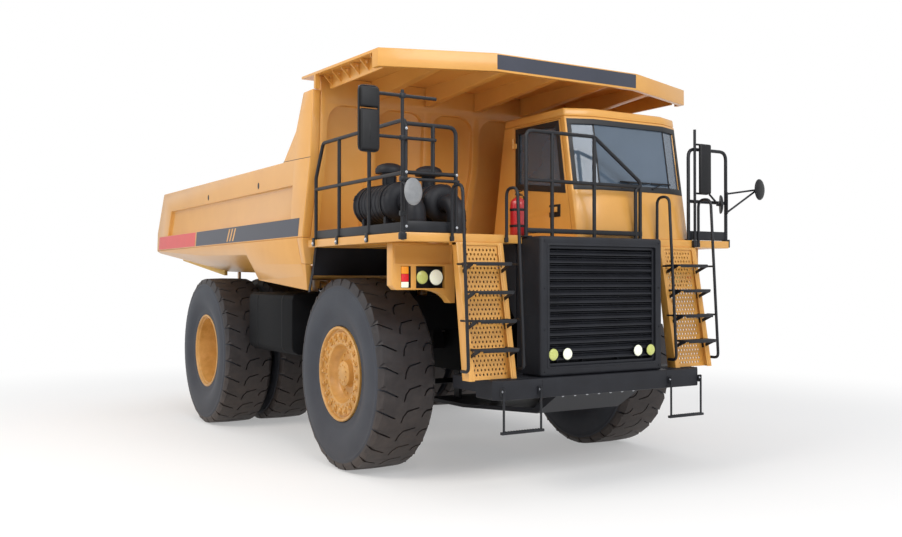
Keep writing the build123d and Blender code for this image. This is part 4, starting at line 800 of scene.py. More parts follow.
@dataclass
class Wheels:
    """The two front wheels and the two pairs of twin rear wheels.

    Attributes:
        tyre: The tyre that all six share.
        rims: The rims.
        front_x: Middle of a front tyre.
        twin_x: Middle of a pair of rear tyres.
        spacing: Distance between the twins.
    """

    tyre: Tyre = field(default_factory=Tyre)
    rims: Rims = field(default_factory=Rims)
    front_x: float = 1.704
    twin_x: float = 1.49
    spacing: float = 0.81

    @staticmethod
    def place(x: float, y: float, side: Side) -> Matrix:
        """Moves a wheel from the origin to its axle, turned round for the right side."""
        turn = Matrix.Rotation(math.pi, 4, "Z") if side is Side.RIGHT else Matrix.Identity(4)
        return Matrix.Translation((x * side.value, y, AXLE_Z)) @ turn

    def build(self) -> None:
        """Build all six wheels."""
        casing, tread = self.tyre.build()
        front, rear = self.rims.front(), self.rims.rear()
        for side in Side:
            single = [self.place(self.front_x, FRONT_AXLE_Y, side)]
            twins = [self.place(self.twin_x + shift, REAR_AXLE_Y, side)
                     for shift in (-self.spacing / 2, self.spacing / 2)]
            between = [self.place(self.twin_x, REAR_AXLE_Y, side)]
            for model, places, name, finish, slot, replaced, angle in (
                    (casing, single, "front_casing", SIDEWALL, "tyre", "front_tyre", 40),
                    (tread, single, "front_tread", TREAD, "tyre", "", 30),
                    (front, single, "front_wheel_disc", RIM_YELLOW, "rim_paint", "front_rim", 35),
                    (casing, twins, "rear_casings", SIDEWALL, "tyre", "rear_tyres", 40),
                    (tread, twins, "rear_treads", TREAD, "tyre", "", 30),
                    (rear, between, "rear_wheel_disc", RIM_YELLOW, "rim_paint", "rear_rims", 35)):
                word, axle = side.name.lower(), name.split("_")[0]
                nodes = (f"{replaced}_{word}",) if replaced else ()
                Bench.hand_in(Bench.joined(Bench.copies(model, places, keep=True)), f"{name}_{word}",
                              f"wheel_{axle}_{word}", finish, slot, nodes, angle)
        for model in (casing, tread, front, rear):
            bpy.data.objects.remove(model)


@dataclass
class RadiatorFront:
    """The radiator housing with its grille.

    Attributes:
        half_width: Half of the housing's width.
        front_y: Front face of the housing.
        rear_y: Back of the housing.
        low_z: Bottom of the housing.
        top_z: Top of the housing.
        grille_half: Half of the grille's width.
        grille_z: Lower and upper edge of the grille.
        blades: Main blades of the grille.
    """

    half_width: float = 0.825
    front_y: float = FRONT_AXLE_Y - 2.185
    rear_y: float = FRONT_AXLE_Y - 1.75
    low_z: float = 1.1655
    top_z: float = 2.59
    grille_half: float = 0.727
    grille_z: Flat = (1.265, 2.5)
    blades: int = 15

    def housing(self) -> None:
        """The sheet housing with rounded edges and a deep opening."""
        half, front, low = self.half_width, self.front_y, self.low_z
        edge, (bottom, top) = self.grille_half, self.grille_z
        shell = Bench.block((-half, front, low), (half, self.rear_y, self.top_z), 0.034, 4)
        Bench.cut(shell, Bench.block((-edge, front - 0.1, bottom), (edge, front + 0.12, top), 0.012))
        wing = Bench.side_plate([from_axle([(-1.752, 1.7), (-1.752, 2.52), (-1.47, 2.52), (-1.47, 2.1)])],
                                (half - 0.04, half - 0.001), 0.006)
        seam = Bench.block((half - 0.002, front + 0.15, low + 0.62), (half + 0.003, front + 0.4, low + 0.626),
                           0.001, 1)
        lip = Bench.front_plate([self.rounded(edge + 0.02, bottom - 0.02, top + 0.02, 0.03),
                                 self.rounded(edge - 0.004, bottom + 0.004, top - 0.004, 0.02)],
                                (front - 0.004, front + 0.012), 0.003)
        feet = [Bench.block((x - 0.05, self.rear_y - 0.12, low - 0.0005), (x + 0.05, self.rear_y - 0.02, low + 0.02))
                for x in (-0.78, 0.78)]
        Bench.hand_in(Bench.joined([shell, Bench.both_sides(wing), Bench.both_sides(seam), lip, *feet]),
                      "radiator_housing", "truck", BLACK, "black_paint", ("grille_housing",))
        screws = [(x, front - 0.001, z) for x in (-0.775, 0.775) for z in (1.22, 1.64, 2.06, 2.54)]
        Bench.hand_in(Bench.bolts(screws, FORWARDS, 0.008), "housing_screws", "truck", BLACK, "black_paint")

    @staticmethod
    def rounded(half: float, low: float, high: float, radius: float) -> list[Flat]:
        """A rectangle with rounded corners.

        Args:
            half: Half of its width.
            low: Its lower edge.
            high: Its upper edge.
            radius: Radius of the corners.

        Returns:
            The outline as (x, z) points.
        """
        loop, steps = [], 4
        corners = ((half - radius, high - radius), (-half + radius, high - radius),
                   (-half + radius, low + radius), (half - radius, low + radius))
        for quarter, (x, z) in enumerate(corners):
            for step in range(steps + 1):
                angle = (quarter + step / steps) * FULL_TURN / 4
                loop.append((x + radius * math.cos(angle), z + radius * math.sin(angle)))
        return loop

    def grille(self) -> None:
        """Blades with folded lips, finer blades between them, a frame and a backing on bars."""
        (low, high), front = self.grille_z, self.front_y
        half, pitch = self.grille_half - 0.002, (high - low) / self.blades
        rim = Bench.front_plate([self.rounded(half, low + 0.002, high - 0.002, 0.012),
                                 self.rounded(half - 0.03, low + 0.034, high - 0.034, 0.012)],
                                (front + 0.022, front + 0.05), 0.004)
        span = (-half + 0.02, half - 0.02)
        blade = Bench.side_plate([[(0, 0), (0.003, -0.014), (0.007, -0.014), (0.009, -0.003), (0.055, 0.034),
                                   (0.052, 0.038), (0.004, 0.004)]], span)
        fine = Bench.side_plate([[(0.014, 0), (0.018, -0.006), (0.05, 0.012), (0.047, 0.017)]], span)
        heights = [low + (index + 0.95) * pitch for index in range(self.blades - 1)]
        places = [Matrix.Translation((0, front + 0.026, z)) for z in heights]
        between = [Matrix.Translation((0, front + 0.026, z + pitch * share))
                   for z in heights for share in (0.36, 0.68)]
        backing = Bench.block((-half, front + 0.1, low + 0.002), (half, front + 0.119, high - 0.002), 0.003)
        bars = [Bench.block((x - 0.006, front + 0.06, low + 0.02), (x + 0.006, front + 0.1, high - 0.02), 0.002)
                for x in (-0.57, -0.24, 0.24, 0.57)]
        grille = Bench.joined([rim, *Bench.copies(blade, places), *Bench.copies(fine, between), backing, *bars])
        Bench.hand_in(grille, "grille_blades", "truck", BLACK, "black_paint", ("grille_louvres",))

    def build(self) -> None:
        """Build housing and grille."""
        self.housing()
        self.grille()


@dataclass
class Lamps:
    """Round work lamps in the grille and on the pods, and the marker lamps beside them.

    Attributes:
        pod_y: Front face of the pods.
        grille_y: Front face of the radiator housing.
        pod_lamps: x, z and radius on the pods, outer one first.
        grille_lamps: x, z and radius in the grille, outer one first.
    """

    pod_y: float = FRONT_AXLE_Y - 1.46
    grille_y: float = FRONT_AXLE_Y - 2.185
    pod_lamps: tuple[Point, ...] = ((1.777, 2.171, 0.07), (1.613, 2.171, 0.082))
    grille_lamps: tuple[Point, ...] = ((0.66, 1.39, 0.062), (0.479, 1.39, 0.062))

    @staticmethod
    def lens(centre: Point, radius: float) -> Piece:
        """A domed lens with a stepped rim, looking forwards.

        Args:
            centre: Middle of its rim.
            radius: Radius of the lamp.

        Returns:
            The lens.
        """
        r = radius
        return Bench.lathe(centre, FORWARDS, [(0, r * 0.985), (0.006, r * 0.985), (0.010, r * 0.93), (0.014, r * 0.9),
                                              (0.021, r * 0.62), (0.0245, r * 0.3), (0.0255, 0)], 40)

    @staticmethod
    def bowl(centre: Point, radius: float, depth: float) -> Piece:
        """The lamp's housing behind the lens.

        Args:
            centre: Middle of the lens's rim.
            radius: Radius of the lamp.
            depth: How far it goes in.

        Returns:
            The housing.
        """
        r = radius
        return Bench.lathe(centre, FORWARDS, [(-depth, 0), (-depth, r * 0.6), (-depth * 0.55, r * 0.85), (-0.01, r),
                                              (0.009, r * 1.05), (0.013, r * 1.03), (0.013, r * 0.985),
                                              (0.0, r * 0.97), (-0.004, 0)], 40)

    def build(self) -> None:
        """Build all the lamps."""
        outer, inner, bowls, black = [], [], [], []
        rows = ((self.pod_lamps, self.pod_y + 0.012, 0.045), (self.grille_lamps, self.grille_y + 0.018, 0.08))
        for sign in (1, -1):
            for lamps, y, depth in rows:
                for (x, z, radius), lenses in zip(lamps, (outer, inner)):
                    lenses.append(self.lens((x * sign, y, z), radius))
                    bowls.append(self.bowl((x * sign, y, z), radius, depth))
            black.append(Bench.block((1.511 * sign, self.pod_y + 0.045, 2.062),
                                     (1.849 * sign, self.pod_y + 0.059, 2.284), 0.002))
        Bench.hand_in(Bench.joined(outer), "outer_lamp_lenses", "truck", AMBER_LENS, "lamp_lens", ("head_lamps",))
        Bench.hand_in(Bench.joined(inner), "inner_lamp_lenses", "truck", WHITE_LENS, "lamp_lens")
        Bench.hand_in(Bench.joined(bowls), "lamp_bowls", "truck", TRIM, "cab_trim")
        Bench.hand_in(Bench.joined(black), "lamp_recess_plates", "truck", TRIM, "cab_trim")
        self.markers()
        self.curves()

    def curves(self) -> None:
        """The curved gussets where the pods run down into the ladders."""
        start, bend, end, steps = Vector((1.8, 2.047)), Vector((1.52, 2.042)), Vector((1.45, 1.908)), 14
        curve = [tuple(start * (1 - t) ** 2 + bend * 2 * t * (1 - t) + end * t * t)
                 for t in (step / steps for step in range(steps + 1))]
        outline = [*curve, (1.43, 1.915), (1.55, 2.06), (1.8, 2.06)]
        gusset = Bench.front_plate([outline], (self.pod_y + 0.002, self.pod_y + 0.118), 0.004)
        Bench.hand_in(Bench.both_sides(gusset), "pod_gussets", "truck", YELLOW, "body_paint")

    def markers(self) -> None:
        """The marker lamps: orange above, red in the middle and white below, in a black tray."""
        fields = ((2.207, 2.281, ORANGE_LENS, "turn"), (2.127, 2.205, RED_LENS, "brake"),
                  (2.068, 2.125, WHITE_LENS, "parking"))
        for low, high, finish, word in fields:
            lenses = [Bench.block((1.938 * sign, self.pod_y - 0.006, low), (2.02 * sign, self.pod_y + 0.018, high),
                                  0.006, 3) for sign in (1, -1)]
            Bench.hand_in(Bench.joined(lenses), f"{word}_marker_lenses", "truck", finish, "lamp_lens")
        trays = [Bench.block((1.911 * sign, self.pod_y + 0.004, 2.0655), (2.0225 * sign, self.pod_y + 0.019, 2.2835),
                             0.002) for sign in (1, -1)]
        Bench.hand_in(Bench.joined(trays), "marker_trays", "truck", TRIM, "cab_trim")


@dataclass
class Bumper:
    """The bumper beam with its seams, tread bars and bolts, and the bolts of the guard below it.

    Attributes:
        half_width: Half of the bumper's width.
        front_y: Its front face.
        z_span: Its lower and upper face.
        hangers: X of the hanging steps' bars.
    """

    half_width: float = 1.39
    front_y: float = FRONT_AXLE_Y - 2.23
    z_span: Flat = (0.97, 1.165)
    hangers: Flat = HANGER_X

    def beam(self) -> None:
        """The box beam, with chamfered ends and softly rounded edges."""
        rear = FRONT_AXLE_Y - 1.42
        half, front, (low, high) = self.half_width, self.front_y, self.z_span
        loop = [(-half, front + 0.08), (-half + 0.08, front), (half - 0.08, front), (half, front + 0.08),
                (half, rear), (-half, rear)]
        beam = Bench.plate([loop], high - low, Matrix.Translation((0, 0, (low + high) / 2)), 0.012)
        for sign in (1, -1):
            Bench.cut(beam, Bench.block((0.9 * sign, FRONT_AXLE_Y - 1.86, 0.9),
                                        ((half + 0.02) * sign, rear + 0.02, low + 0.06), 0))
        Bench.hand_in(beam, "bumper_beam", "truck", BLACK, "black_paint", ("front_bumper",))
        joints = [Bench.block((x - 0.002, front - 0.0015, low + 0.01), (x + 0.002, front + 0.004, high - 0.01),
                              0.0005, 1) for x in (-0.84, 0.84)]
        Bench.hand_in(Bench.joined(joints), "bumper_seams", "truck", TRIM, "black_paint")

    def tread_plate(self) -> None:
        """Raised bars on the bumper's top where feet land."""
        rows, top = [self.front_y + 0.05 + row * 0.045 for row in range(7)], self.z_span[1]
        bars = [Bench.block((0.93 * sign, y, top - 0.001), (1.36 * sign, y + 0.014, top + 0.005), 0.002, 1)
                for sign in (1, -1) for y in rows]
        Bench.hand_in(Bench.joined(bars), "bumper_tread_bars", "truck", TUBE_BLACK, "black_paint")

    def studs(self) -> None:
        """Bright bolts on the beam and along the guard's edge."""
        places = [(x * sign, self.front_y - 0.0215, 1.062) for x in self.hangers for sign in (1, -1)]
        edge = [(0.16 * step, FRONT_AXLE_Y - 2.1, self.z_span[0] - 0.012) for step in range(-3, 4)]
        bolts = [Bench.bolts(places, FORWARDS, 0.014), Bench.bolts(edge, (0, -0.94, -0.34), 0.012)]
        Bench.hand_in(Bench.joined(bolts), "bumper_bolts", "truck", ZINC, "black_paint")

    def build(self) -> None:
        """Build beam, tread bars and bolts."""
        self.beam()
        self.tread_plate()
        self.studs()


@dataclass
class Ladders:
    """The two ladders with their steps, and the hanging steps below the bumper.

    Attributes:
        x_span: Inner and outer edge of a ladder.
        foot: y and z of the ladder's foot.
        top: y and z of its top.
        step_z: Heights of the steps.
        reach: How far a step stands out.
        rows: Rows of holes in the back plate.
        columns: Holes in a row.
        hangers: X of the hanging steps' bars.
    """

    x_span: Flat = (1.08, 1.64)
    foot: Flat = (FRONT_AXLE_Y - 2.06, 1.1655)
    top: Flat = (FRONT_AXLE_Y - 1.87, 2.5)
    step_z: tuple[float, ...] = (2.32, 2.04, 1.76, 1.48)
    reach: float = 0.25
    rows: int = 28
    columns: int = 9
    hangers: Flat = HANGER_X

    def y_at(self, z: float) -> float:
        """Front face of the back plate at a height."""
        return self.foot[0] + (z - self.foot[1]) / (self.top[1] - self.foot[1]) * (self.top[0] - self.foot[0])

    def frame(self) -> Piece:
        """The left ladder's stringers, back plate with its holes, and top bracket.

        Returns:
            The ladder without its steps.
        """
        low, high = self.foot[1], 2.52
        y_low, y_high = self.y_at(low), self.y_at(high)
        parts = []
        for x, lip_x in ((self.x_span[0], self.x_span[0] + 0.045), (self.x_span[1] - 0.045, self.x_span[1] - 0.067)):
            web = [(y_low - 0.07, low), (y_low + 0.06, low), (y_high + 0.06, high), (y_high - 0.02, high)]
            lip = [(y_low - 0.068, low), (y_low - 0.058, low), (y_high - 0.008, high), (y_high - 0.018, high)]
            parts.append(Bench.side_plate([web], (x, x + 0.045), 0.004))
            parts.append(Bench.side_plate([lip], (lip_x, lip_x + 0.022), 0.002))
        slope = Vector((0, y_high - y_low, high - low))
        left, right = self.x_span[0] + 0.044, self.x_span[1] - 0.044
        outline = [(left, 0), (right, 0), (right, slope.length), (left, slope.length)]
        centres = [(left + 0.04 + (column + 0.5 * (row % 2)) * 0.043, 0.05 + row * 0.046)
                   for row in range(self.rows) for column in range(self.columns)]
        holes = [oval(centre, 0.011, 0.015, 8) for centre in centres if centre[0] <= right - 0.03]
        along = slope.normalized()
        normal = Vector(SIDEWAYS).cross(along)
        place = Matrix(((1, along.x, normal.x, 0), (0, along.y, normal.y, y_low + 0.007),
                        (0, along.z, normal.z, low), (0, 0, 0, 1)))
        parts.append(Bench.plate([outline, *holes], 0.012, place))
        parts.append(Bench.block((self.x_span[0], y_high - 0.02, high - 0.03),
                                 (self.x_span[1], FRONT_AXLE_Y - 1.75, high - 0.0005)))
        return Bench.joined(parts)

    def step(self, z: float) -> list[Piece]:
        """One strap step with end plates and round tread bars.

        Args:
            z: Height of its top.

        Returns:
            The step's parts.
        """
        y, left, right = self.y_at(z), self.x_span[0] + 0.0455, self.x_span[1] - 0.0455
        front, level = y - self.reach, z - 0.012
        parts = [Bench.pipe([(left + 0.012, y + 0.004, level), (left + 0.012, front + 0.01, level),
                             (right - 0.012, front + 0.01, level), (right - 0.012, y + 0.004, level)], 0.0115, 0.035),
                 Bench.block((left + 0.03, front, z - 0.036), (right - 0.03, front + 0.012, z), 0.003)]
        for x in (left, right - 0.01):
            end = [(front + 0.03, z - 0.004), (y + 0.002, z - 0.004), (self.y_at(z - 0.11) + 0.002, z - 0.11),
                   (self.y_at(z - 0.1) - 0.03, z - 0.105), (front + 0.03, z - 0.03)]
            hole = [(y - 0.13, z - 0.026), (y - 0.035, z - 0.026), (y - 0.035, z - 0.075)]
            parts.append(Bench.side_plate([end, hole], (x, x + 0.01), 0.0015))
        return parts + [Bench.pipe([(left + 0.006, y - shift, level), (right - 0.006, y - shift, level)], 0.007, 0, 2)
                        for shift in (0.06, 0.11, 0.16, 0.21)]

    def hanging(self) -> list[Piece]:
        """The left step that hangs below the bumper on two bars.

        Returns:
            The step's parts.
        """
        front = FRONT_AXLE_Y - 2.23
        low, high = self.hangers
        parts = [Bench.pipe([(x, front - 0.03, 1.09), (x, front - 0.03, 0.668)], 0.0115) for x in self.hangers]
        parts += [Bench.block((x - 0.022, front - 0.021, 1.015), (x + 0.022, front + 0.0005, 1.092))
                  for x in self.hangers]
        parts.append(Bench.block((low - 0.03, front - 0.048, 0.645), (high + 0.03, front - 0.008, 0.672)))
        return parts + [Bench.block((x, front - 0.046, 0.670), (x + 0.008, front - 0.01, 0.6775), 0.001, 1)
                        for x in (low + 0.02 + 0.033 * index for index in range(13))]

    def build(self) -> None:
        """Build both ladders and all steps."""
        Bench.hand_in(Bench.both_sides(self.frame()), "ladder_frames", "truck", YELLOW, "body_paint", ("ladders",))
        steps = [part for z in self.step_z for part in self.step(z)] + self.hanging()
        Bench.hand_in(Bench.both_sides(Bench.joined(steps)), "strap_steps", "truck", TUBE_BLACK, "black_paint",
                      ("steps",))
        bolts = [(x, self.y_at(z) - 0.0005, z - 0.055) for z in self.step_z
                 for x in (self.x_span[0] + 0.068, self.x_span[1] - 0.068)]
        Bench.hand_in(Bench.both_sides(Bench.bolts(bolts, (0, -1, 0.14), 0.011)), "step_bolts", "truck", ZINC,
                      "black_paint")


@dataclass
class DeckRails:
    """Guard rails of the deck and the housing, and the bent handrails of the ladders.

    Attributes:
        tube: Radius of a guard rail's tube.
        slim: Radius of a handrail's tube.
        deck_z: Top of the deck plate.
        front_y: Line of the front rails.
        right_x: Line of the right side's rails.
        cab_x: Inner end of the left rail.
        posts: Y of the right side's posts, rear one first.
        mid_z: Height of the middle rails.
        top_z: Height of the top rails.
        housing_y: Line of the housing's rail.
    """

    tube: float = 0.0205
    slim: float = 0.0165
    deck_z: float = 2.605
    front_y: float = FRONT_AXLE_Y - 1.845
    right_x: float = -2.185
    cab_x: float = 1.567
    posts: Point = (FRONT_AXLE_Y + 0.28, FRONT_AXLE_Y - 0.345, FRONT_AXLE_Y - 1.07)
    mid_z: float = 3.18
    top_z: float = 3.69
    housing_y: float = FRONT_AXLE_Y - 1.9

    def guard(self) -> list[Piece]:
        """The guard rails as bent tubes.

        Returns:
            The tubes.
        """
        x, f, low, mid, top = self.right_x, self.front_y, self.deck_z, self.mid_z, self.top_z
        end, cab, (rear, middle, fore) = RAIL_END_X, self.cab_x, self.posts
        runs = [
            ([(x, rear, low), (x, rear, 3.31), (x, rear - 0.2, top), (x, f, top), (x, f, low)], 0.07),
            ([(x, middle, low), (x, middle, top)], 0),
            ([(x, fore, low), (x, fore, top)], 0),
            ([(x, rear, mid), (x, f, mid)], 0),
            ([(x, f, 3.65), (end, f, 3.65), (end, f, low)], 0.09),
            ([(x, f, mid), (end, f, mid)], 0),
            ([(-1.881, f, mid), (-1.881, f, 3.65)], 0),
            ([(-x, f, low), (-x, f, 3.67), (cab, f, 3.67), (cab, f, low)], 0.1),
            ([(-x, f, 3.06), (cab, f, 3.06)], 0),
        ]
        return [Bench.pipe(points, self.tube, bend) for points, bend in runs]

    def housing(self) -> list[Piece]:
        """The guard rail over the radiator housing, with its foot rail.

        Returns:
            Tubes, foot rail and feet.
        """
        y, low, mid, top = self.housing_y, 2.59, self.mid_z, self.top_z
        right, inner, bend, left = posts = (-0.8, -0.464, 0.107, 0.767)
        runs = [
            ([(right, y, low), (right, y, top), (bend, y, top), (left, y, 3.234), (left, y, low)], 0.08),
            ([(inner, y, low), (inner, y, top)], 0),
            ([(bend, y, low), (bend, y, top)], 0),
            ([(right, y, mid), (left, y, mid)], 0),
            ([(0.70, y, low), (0.70, y, 3.14), (left, y, 3.2)], 0.03),
        ]
        parts = [Bench.pipe(points, self.tube, bend) for points, bend in runs]
        parts.append(Bench.block((-0.82, y - 0.012, 2.632), (0.79, y + 0.012, 2.682)))
        return parts + [Bench.block((x - 0.05, y - 0.04, 2.589), (x + 0.05, y + 0.04, 2.601), 0.003) for x in posts]

    def handrails(self) -> list[Piece]:
        """The hairpin handrails of the left ladder, with a foot turned in at the lower end.

        Returns:
            Tubes, stays and feet.
        """
        foot_y, rear = FRONT_AXLE_Y - 2.06 - 0.13, FRONT_AXLE_Y - 1.87 - 0.0173
        top, low_z, high_z = rear - 0.19, 1.262, 3.075
        parts = []
        for x, inward in ((1.035, 1), (1.685, -1)):
            parts.append(Bench.pipe([(x, foot_y + 0.13, low_z), (x, foot_y + 0.004, low_z), (x, top, high_z),
                                     (x, rear, high_z), (x, rear, 2.53)], self.slim, 0.105))
            for z, reach in ((1.75, 0.13), (2.3, 0.16)):
                y = foot_y + (top - foot_y) * (z - low_z) / (high_z - low_z)
                parts.append(Bench.pipe([(x, y, z), (x + 0.012 * inward, y + reach, z)], 0.011))
            parts.append(Bench.block((x - 0.02, rear - 0.01, 2.527), (x + 0.02, rear + 0.018, 2.575)))
        return parts

    def trim(self) -> list[Piece]:
        """Foot boards and post flanges of the deck's rails.

        Returns:
            Boards, flanges and the plates on the deck's side.
        """
        x, f, low, end, cab = self.right_x, self.front_y, self.deck_z, RAIL_END_X, self.cab_x
        rear, middle, fore = self.posts
        parts = [Bench.block((x, f - 0.008, low + 0.004), (end, f + 0.008, low + 0.11), 0.003),
                 Bench.block((cab, f - 0.008, low + 0.004), (-x, f + 0.008, low + 0.11), 0.003),
                 Bench.block((x - 0.006, f, low + 0.004), (x + 0.006, rear, low + 0.1), 0.003)]
        for px, py in ((x, f), (x, fore), (x, middle), (x, rear), (end, f), (cab, f), (-x, f)):
            parts.append(Bench.block((px - 0.034, py - 0.024 if py > f else f - 0.0245, low - 0.001),
                                     (px + 0.034, py + 0.034, low + 0.014), 0.003))
            if abs(px) > 2:
                sign = math.copysign(1, px)
                parts.append(Bench.block((sign * 2.2095, py - 0.03, low - 0.075),
                                         (sign * 2.2235, py + 0.03, low + 0.02)))
        return parts

    def build(self) -> None:
        """Build rails, handrails and their bolts."""
        rails = self.guard() + self.housing() + self.trim()
        hairpins = Bench.both_sides(Bench.joined(self.handrails()))
        Bench.hand_in(Bench.joined([*rails, hairpins]), "guard_rails", "truck", TUBE_BLACK, "black_paint",
                      ("hand_rails",), 50)
        side = [(-2.2235, y, self.deck_z - 0.045) for y in (self.front_y, *reversed(self.posts))]
        joints = [(x, self.front_y - self.tube, z) for x, heights in ((self.right_x, (self.mid_z, 3.6, 2.66)),
                                                                      (RAIL_END_X, (self.mid_z, 2.66)))
                  for z in heights]
        bolts = Bench.joined([Bench.bolts(side, (-1, 0, 0), 0.015), Bench.bolts(joints, FORWARDS, 0.01)])
        Bench.hand_in(bolts, "rail_bolts", "truck", ZINC, "black_paint")


@dataclass
class Extinguisher:
    """The fire extinguisher with its valve, hose and straps.

    Attributes:
        foot: Middle of its foot.
        radius: Radius of the bottle.
    """

    foot: Point = (-0.76, FRONT_AXLE_Y - 1.7, 2.605)
    radius: float = 0.084

    def build(self) -> None:
        """Build bottle, straps, valve and hose."""
        (x, y, z), r = self.foot, self.radius
        bottle = Bench.lathe(self.foot, UPWARDS, [(0.0, 0), (0.0, r - 0.006), (0.012, r - 0.002), (0.016, r),
                                                  (0.325, r), (0.36, r * 0.93), (0.385, r * 0.7), (0.398, r * 0.42),
                                                  (0.402, 0.026), (0.412, 0.026), (0.412, 0)], 40)
        Bench.hand_in(bottle, "extinguisher_bottle", "truck", RED, "red_paint", ("fire_extinguisher",))
        straps = [Bench.ring((x, y, z + height), UPWARDS, (r, r + 0.004), 0.026, 40) for height in (0.09, 0.26)]
        post = Bench.block((x - 0.02, y + r - 0.002, z), (x + 0.02, y + r + 0.012, z + 0.34), 0.003)
        neck = Bench.lathe((x, y, z + 0.408), UPWARDS, [(0, 0.018), (0.02, 0.018), (0.022, 0.028), (0.04, 0.028),
                                                        (0.044, 0.014), (0.06, 0.012), (0.062, 0)], 20)
        levers = [Bench.side_plate([[(y + along, z + up) for along, up in corners]], (x - 0.009, x + 0.009), 0.001)
                  for corners in (((-0.075, 0.468), (0.02, 0.455), (0.02, 0.464), (-0.075, 0.4725)),
                                  ((-0.07, 0.43), (0.01, 0.44), (0.01, 0.446), (-0.07, 0.437)))]
        hose = Bench.pipe([(x + 0.02, y, z + 0.43), (x + 0.07, y, z + 0.43), (x + 0.082, y - 0.01, z + 0.33),
                           (x + 0.0795, y - 0.045, z + 0.16)], 0.0055, 0.03, 2)
        Bench.hand_in(Bench.joined([*straps, post, neck, *levers, hose]), "extinguisher_fittings", "truck", TRIM,
                      "cab_trim")


@dataclass
class AirCleaners:
    """Two lying air cleaners with their intake caps, elbows and brackets.

    Attributes:
        centres: X of each canister.
        height: Z of their axes.
        front_y: Front end of the canisters.
    """

    centres: Flat = (-1.86, -1.38)
    height: float = 2.95
    front_y: float = FRONT_AXLE_Y - 1.25

    def canister(self, x: float) -> list[Piece]:
        """One canister with ribs, end clamps and saddles.

        Args:
            x: Place of its axis.

        Returns:
            The canister's parts.
        """
        y, z = self.front_y, self.height
        profile = [(0.0, 0), (0.0, 0.12), (0.006, 0.17), (0.03, 0.2), (0.06, 0.21), (0.07, 0.2145), (0.085, 0.2145),
                   (0.09, 0.206), (0.1, 0.205)]
        for start in (0.2, 0.28, 0.36, 0.44, 0.52, 0.6):
            profile += [(start, 0.205), (start + 0.006, 0.212), (start + 0.022, 0.212), (start + 0.028, 0.205)]
        profile += [(0.76, 0.205), (0.765, 0.2145), (0.785, 0.2145), (0.79, 0.206), (0.84, 0.19), (0.858, 0.15),
                    (0.86, 0.09), (0.86, 0)]
        parts = [Bench.lathe((x, y, z), BACKWARDS, profile, 56)]
        for along in (0.078, 0.776):
            latch = Bench.block((x - 0.22, y + along - 0.014, z - 0.03), (x - 0.205, y + along + 0.014, z + 0.03),
                                0.003)
            parts += Bench.copies(latch, Bench.around(4, 0.4, "Y", (x, 0, z)))
        for along in (0.15, 0.65):
            saddle = [(x - 0.15, 2.606), (x + 0.15, 2.606), (x + 0.15, 2.84), (x + 0.12, 2.8), (x - 0.12, 2.8),
                      (x - 0.15, 2.84)]
            parts.append(Bench.front_plate([saddle], (y + along, y + along + 0.05), 0.003))
            parts.append(Bench.ring((x, y + along + 0.012, z), BACKWARDS, (0.206, 0.2145), 0.028, 56))
        return parts

    def intake(self, x: float) -> list[Piece]:
        """The mushroom cap with its stack, and the elbow down to the deck.

        Args:
            x: Place of the canister's axis.

        Returns:
            Cap, slots, elbow and clamps.
        """
        y, z, front, clamp = FRONT_AXLE_Y - 0.9, self.height, self.front_y, (0.098, 0.1035)
        cap = Bench.lathe((x, y, z), UPWARDS, [(0.15, 0.07), (0.3, 0.07), (0.305, 0.078), (0.325, 0.078), (0.33, 0.1),
                                               (0.322, 0.147), (0.338, 0.15), (0.37, 0.149), (0.4, 0.13),
                                               (0.42, 0.09), (0.43, 0.05), (0.43, 0)])
        slot = Bench.block((x + 0.074, y - 0.008, z + 0.2), (x + 0.078, y + 0.008, z + 0.29), 0.001, 1)
        slots = Bench.copies(slot, Bench.around(12, 0, "Z", (x, y, 0)))
        down = front - 0.228
        elbow = Bench.pipe([(x, front + 0.02, z), (x, front - 0.135, z), (x, down, z - 0.1), (x, down, 2.61)], 0.1,
                           0.12, 6)
        rings = [Bench.ring((x, down, height), UPWARDS, clamp, 0.02, 36) for height in (2.66, 2.75)]
        return [cap, *slots, elbow, *rings, Bench.ring((x, front - 0.05, z), BACKWARDS, clamp, 0.022, 36)]

    def build(self) -> None:
        """Build both cleaners."""
        parts = [part for x in self.centres for part in self.canister(x) + self.intake(x)]
        Bench.hand_in(Bench.joined(parts), "air_cleaner_set", "truck", BLACK, "black_paint", ("air_cleaners",), 40)


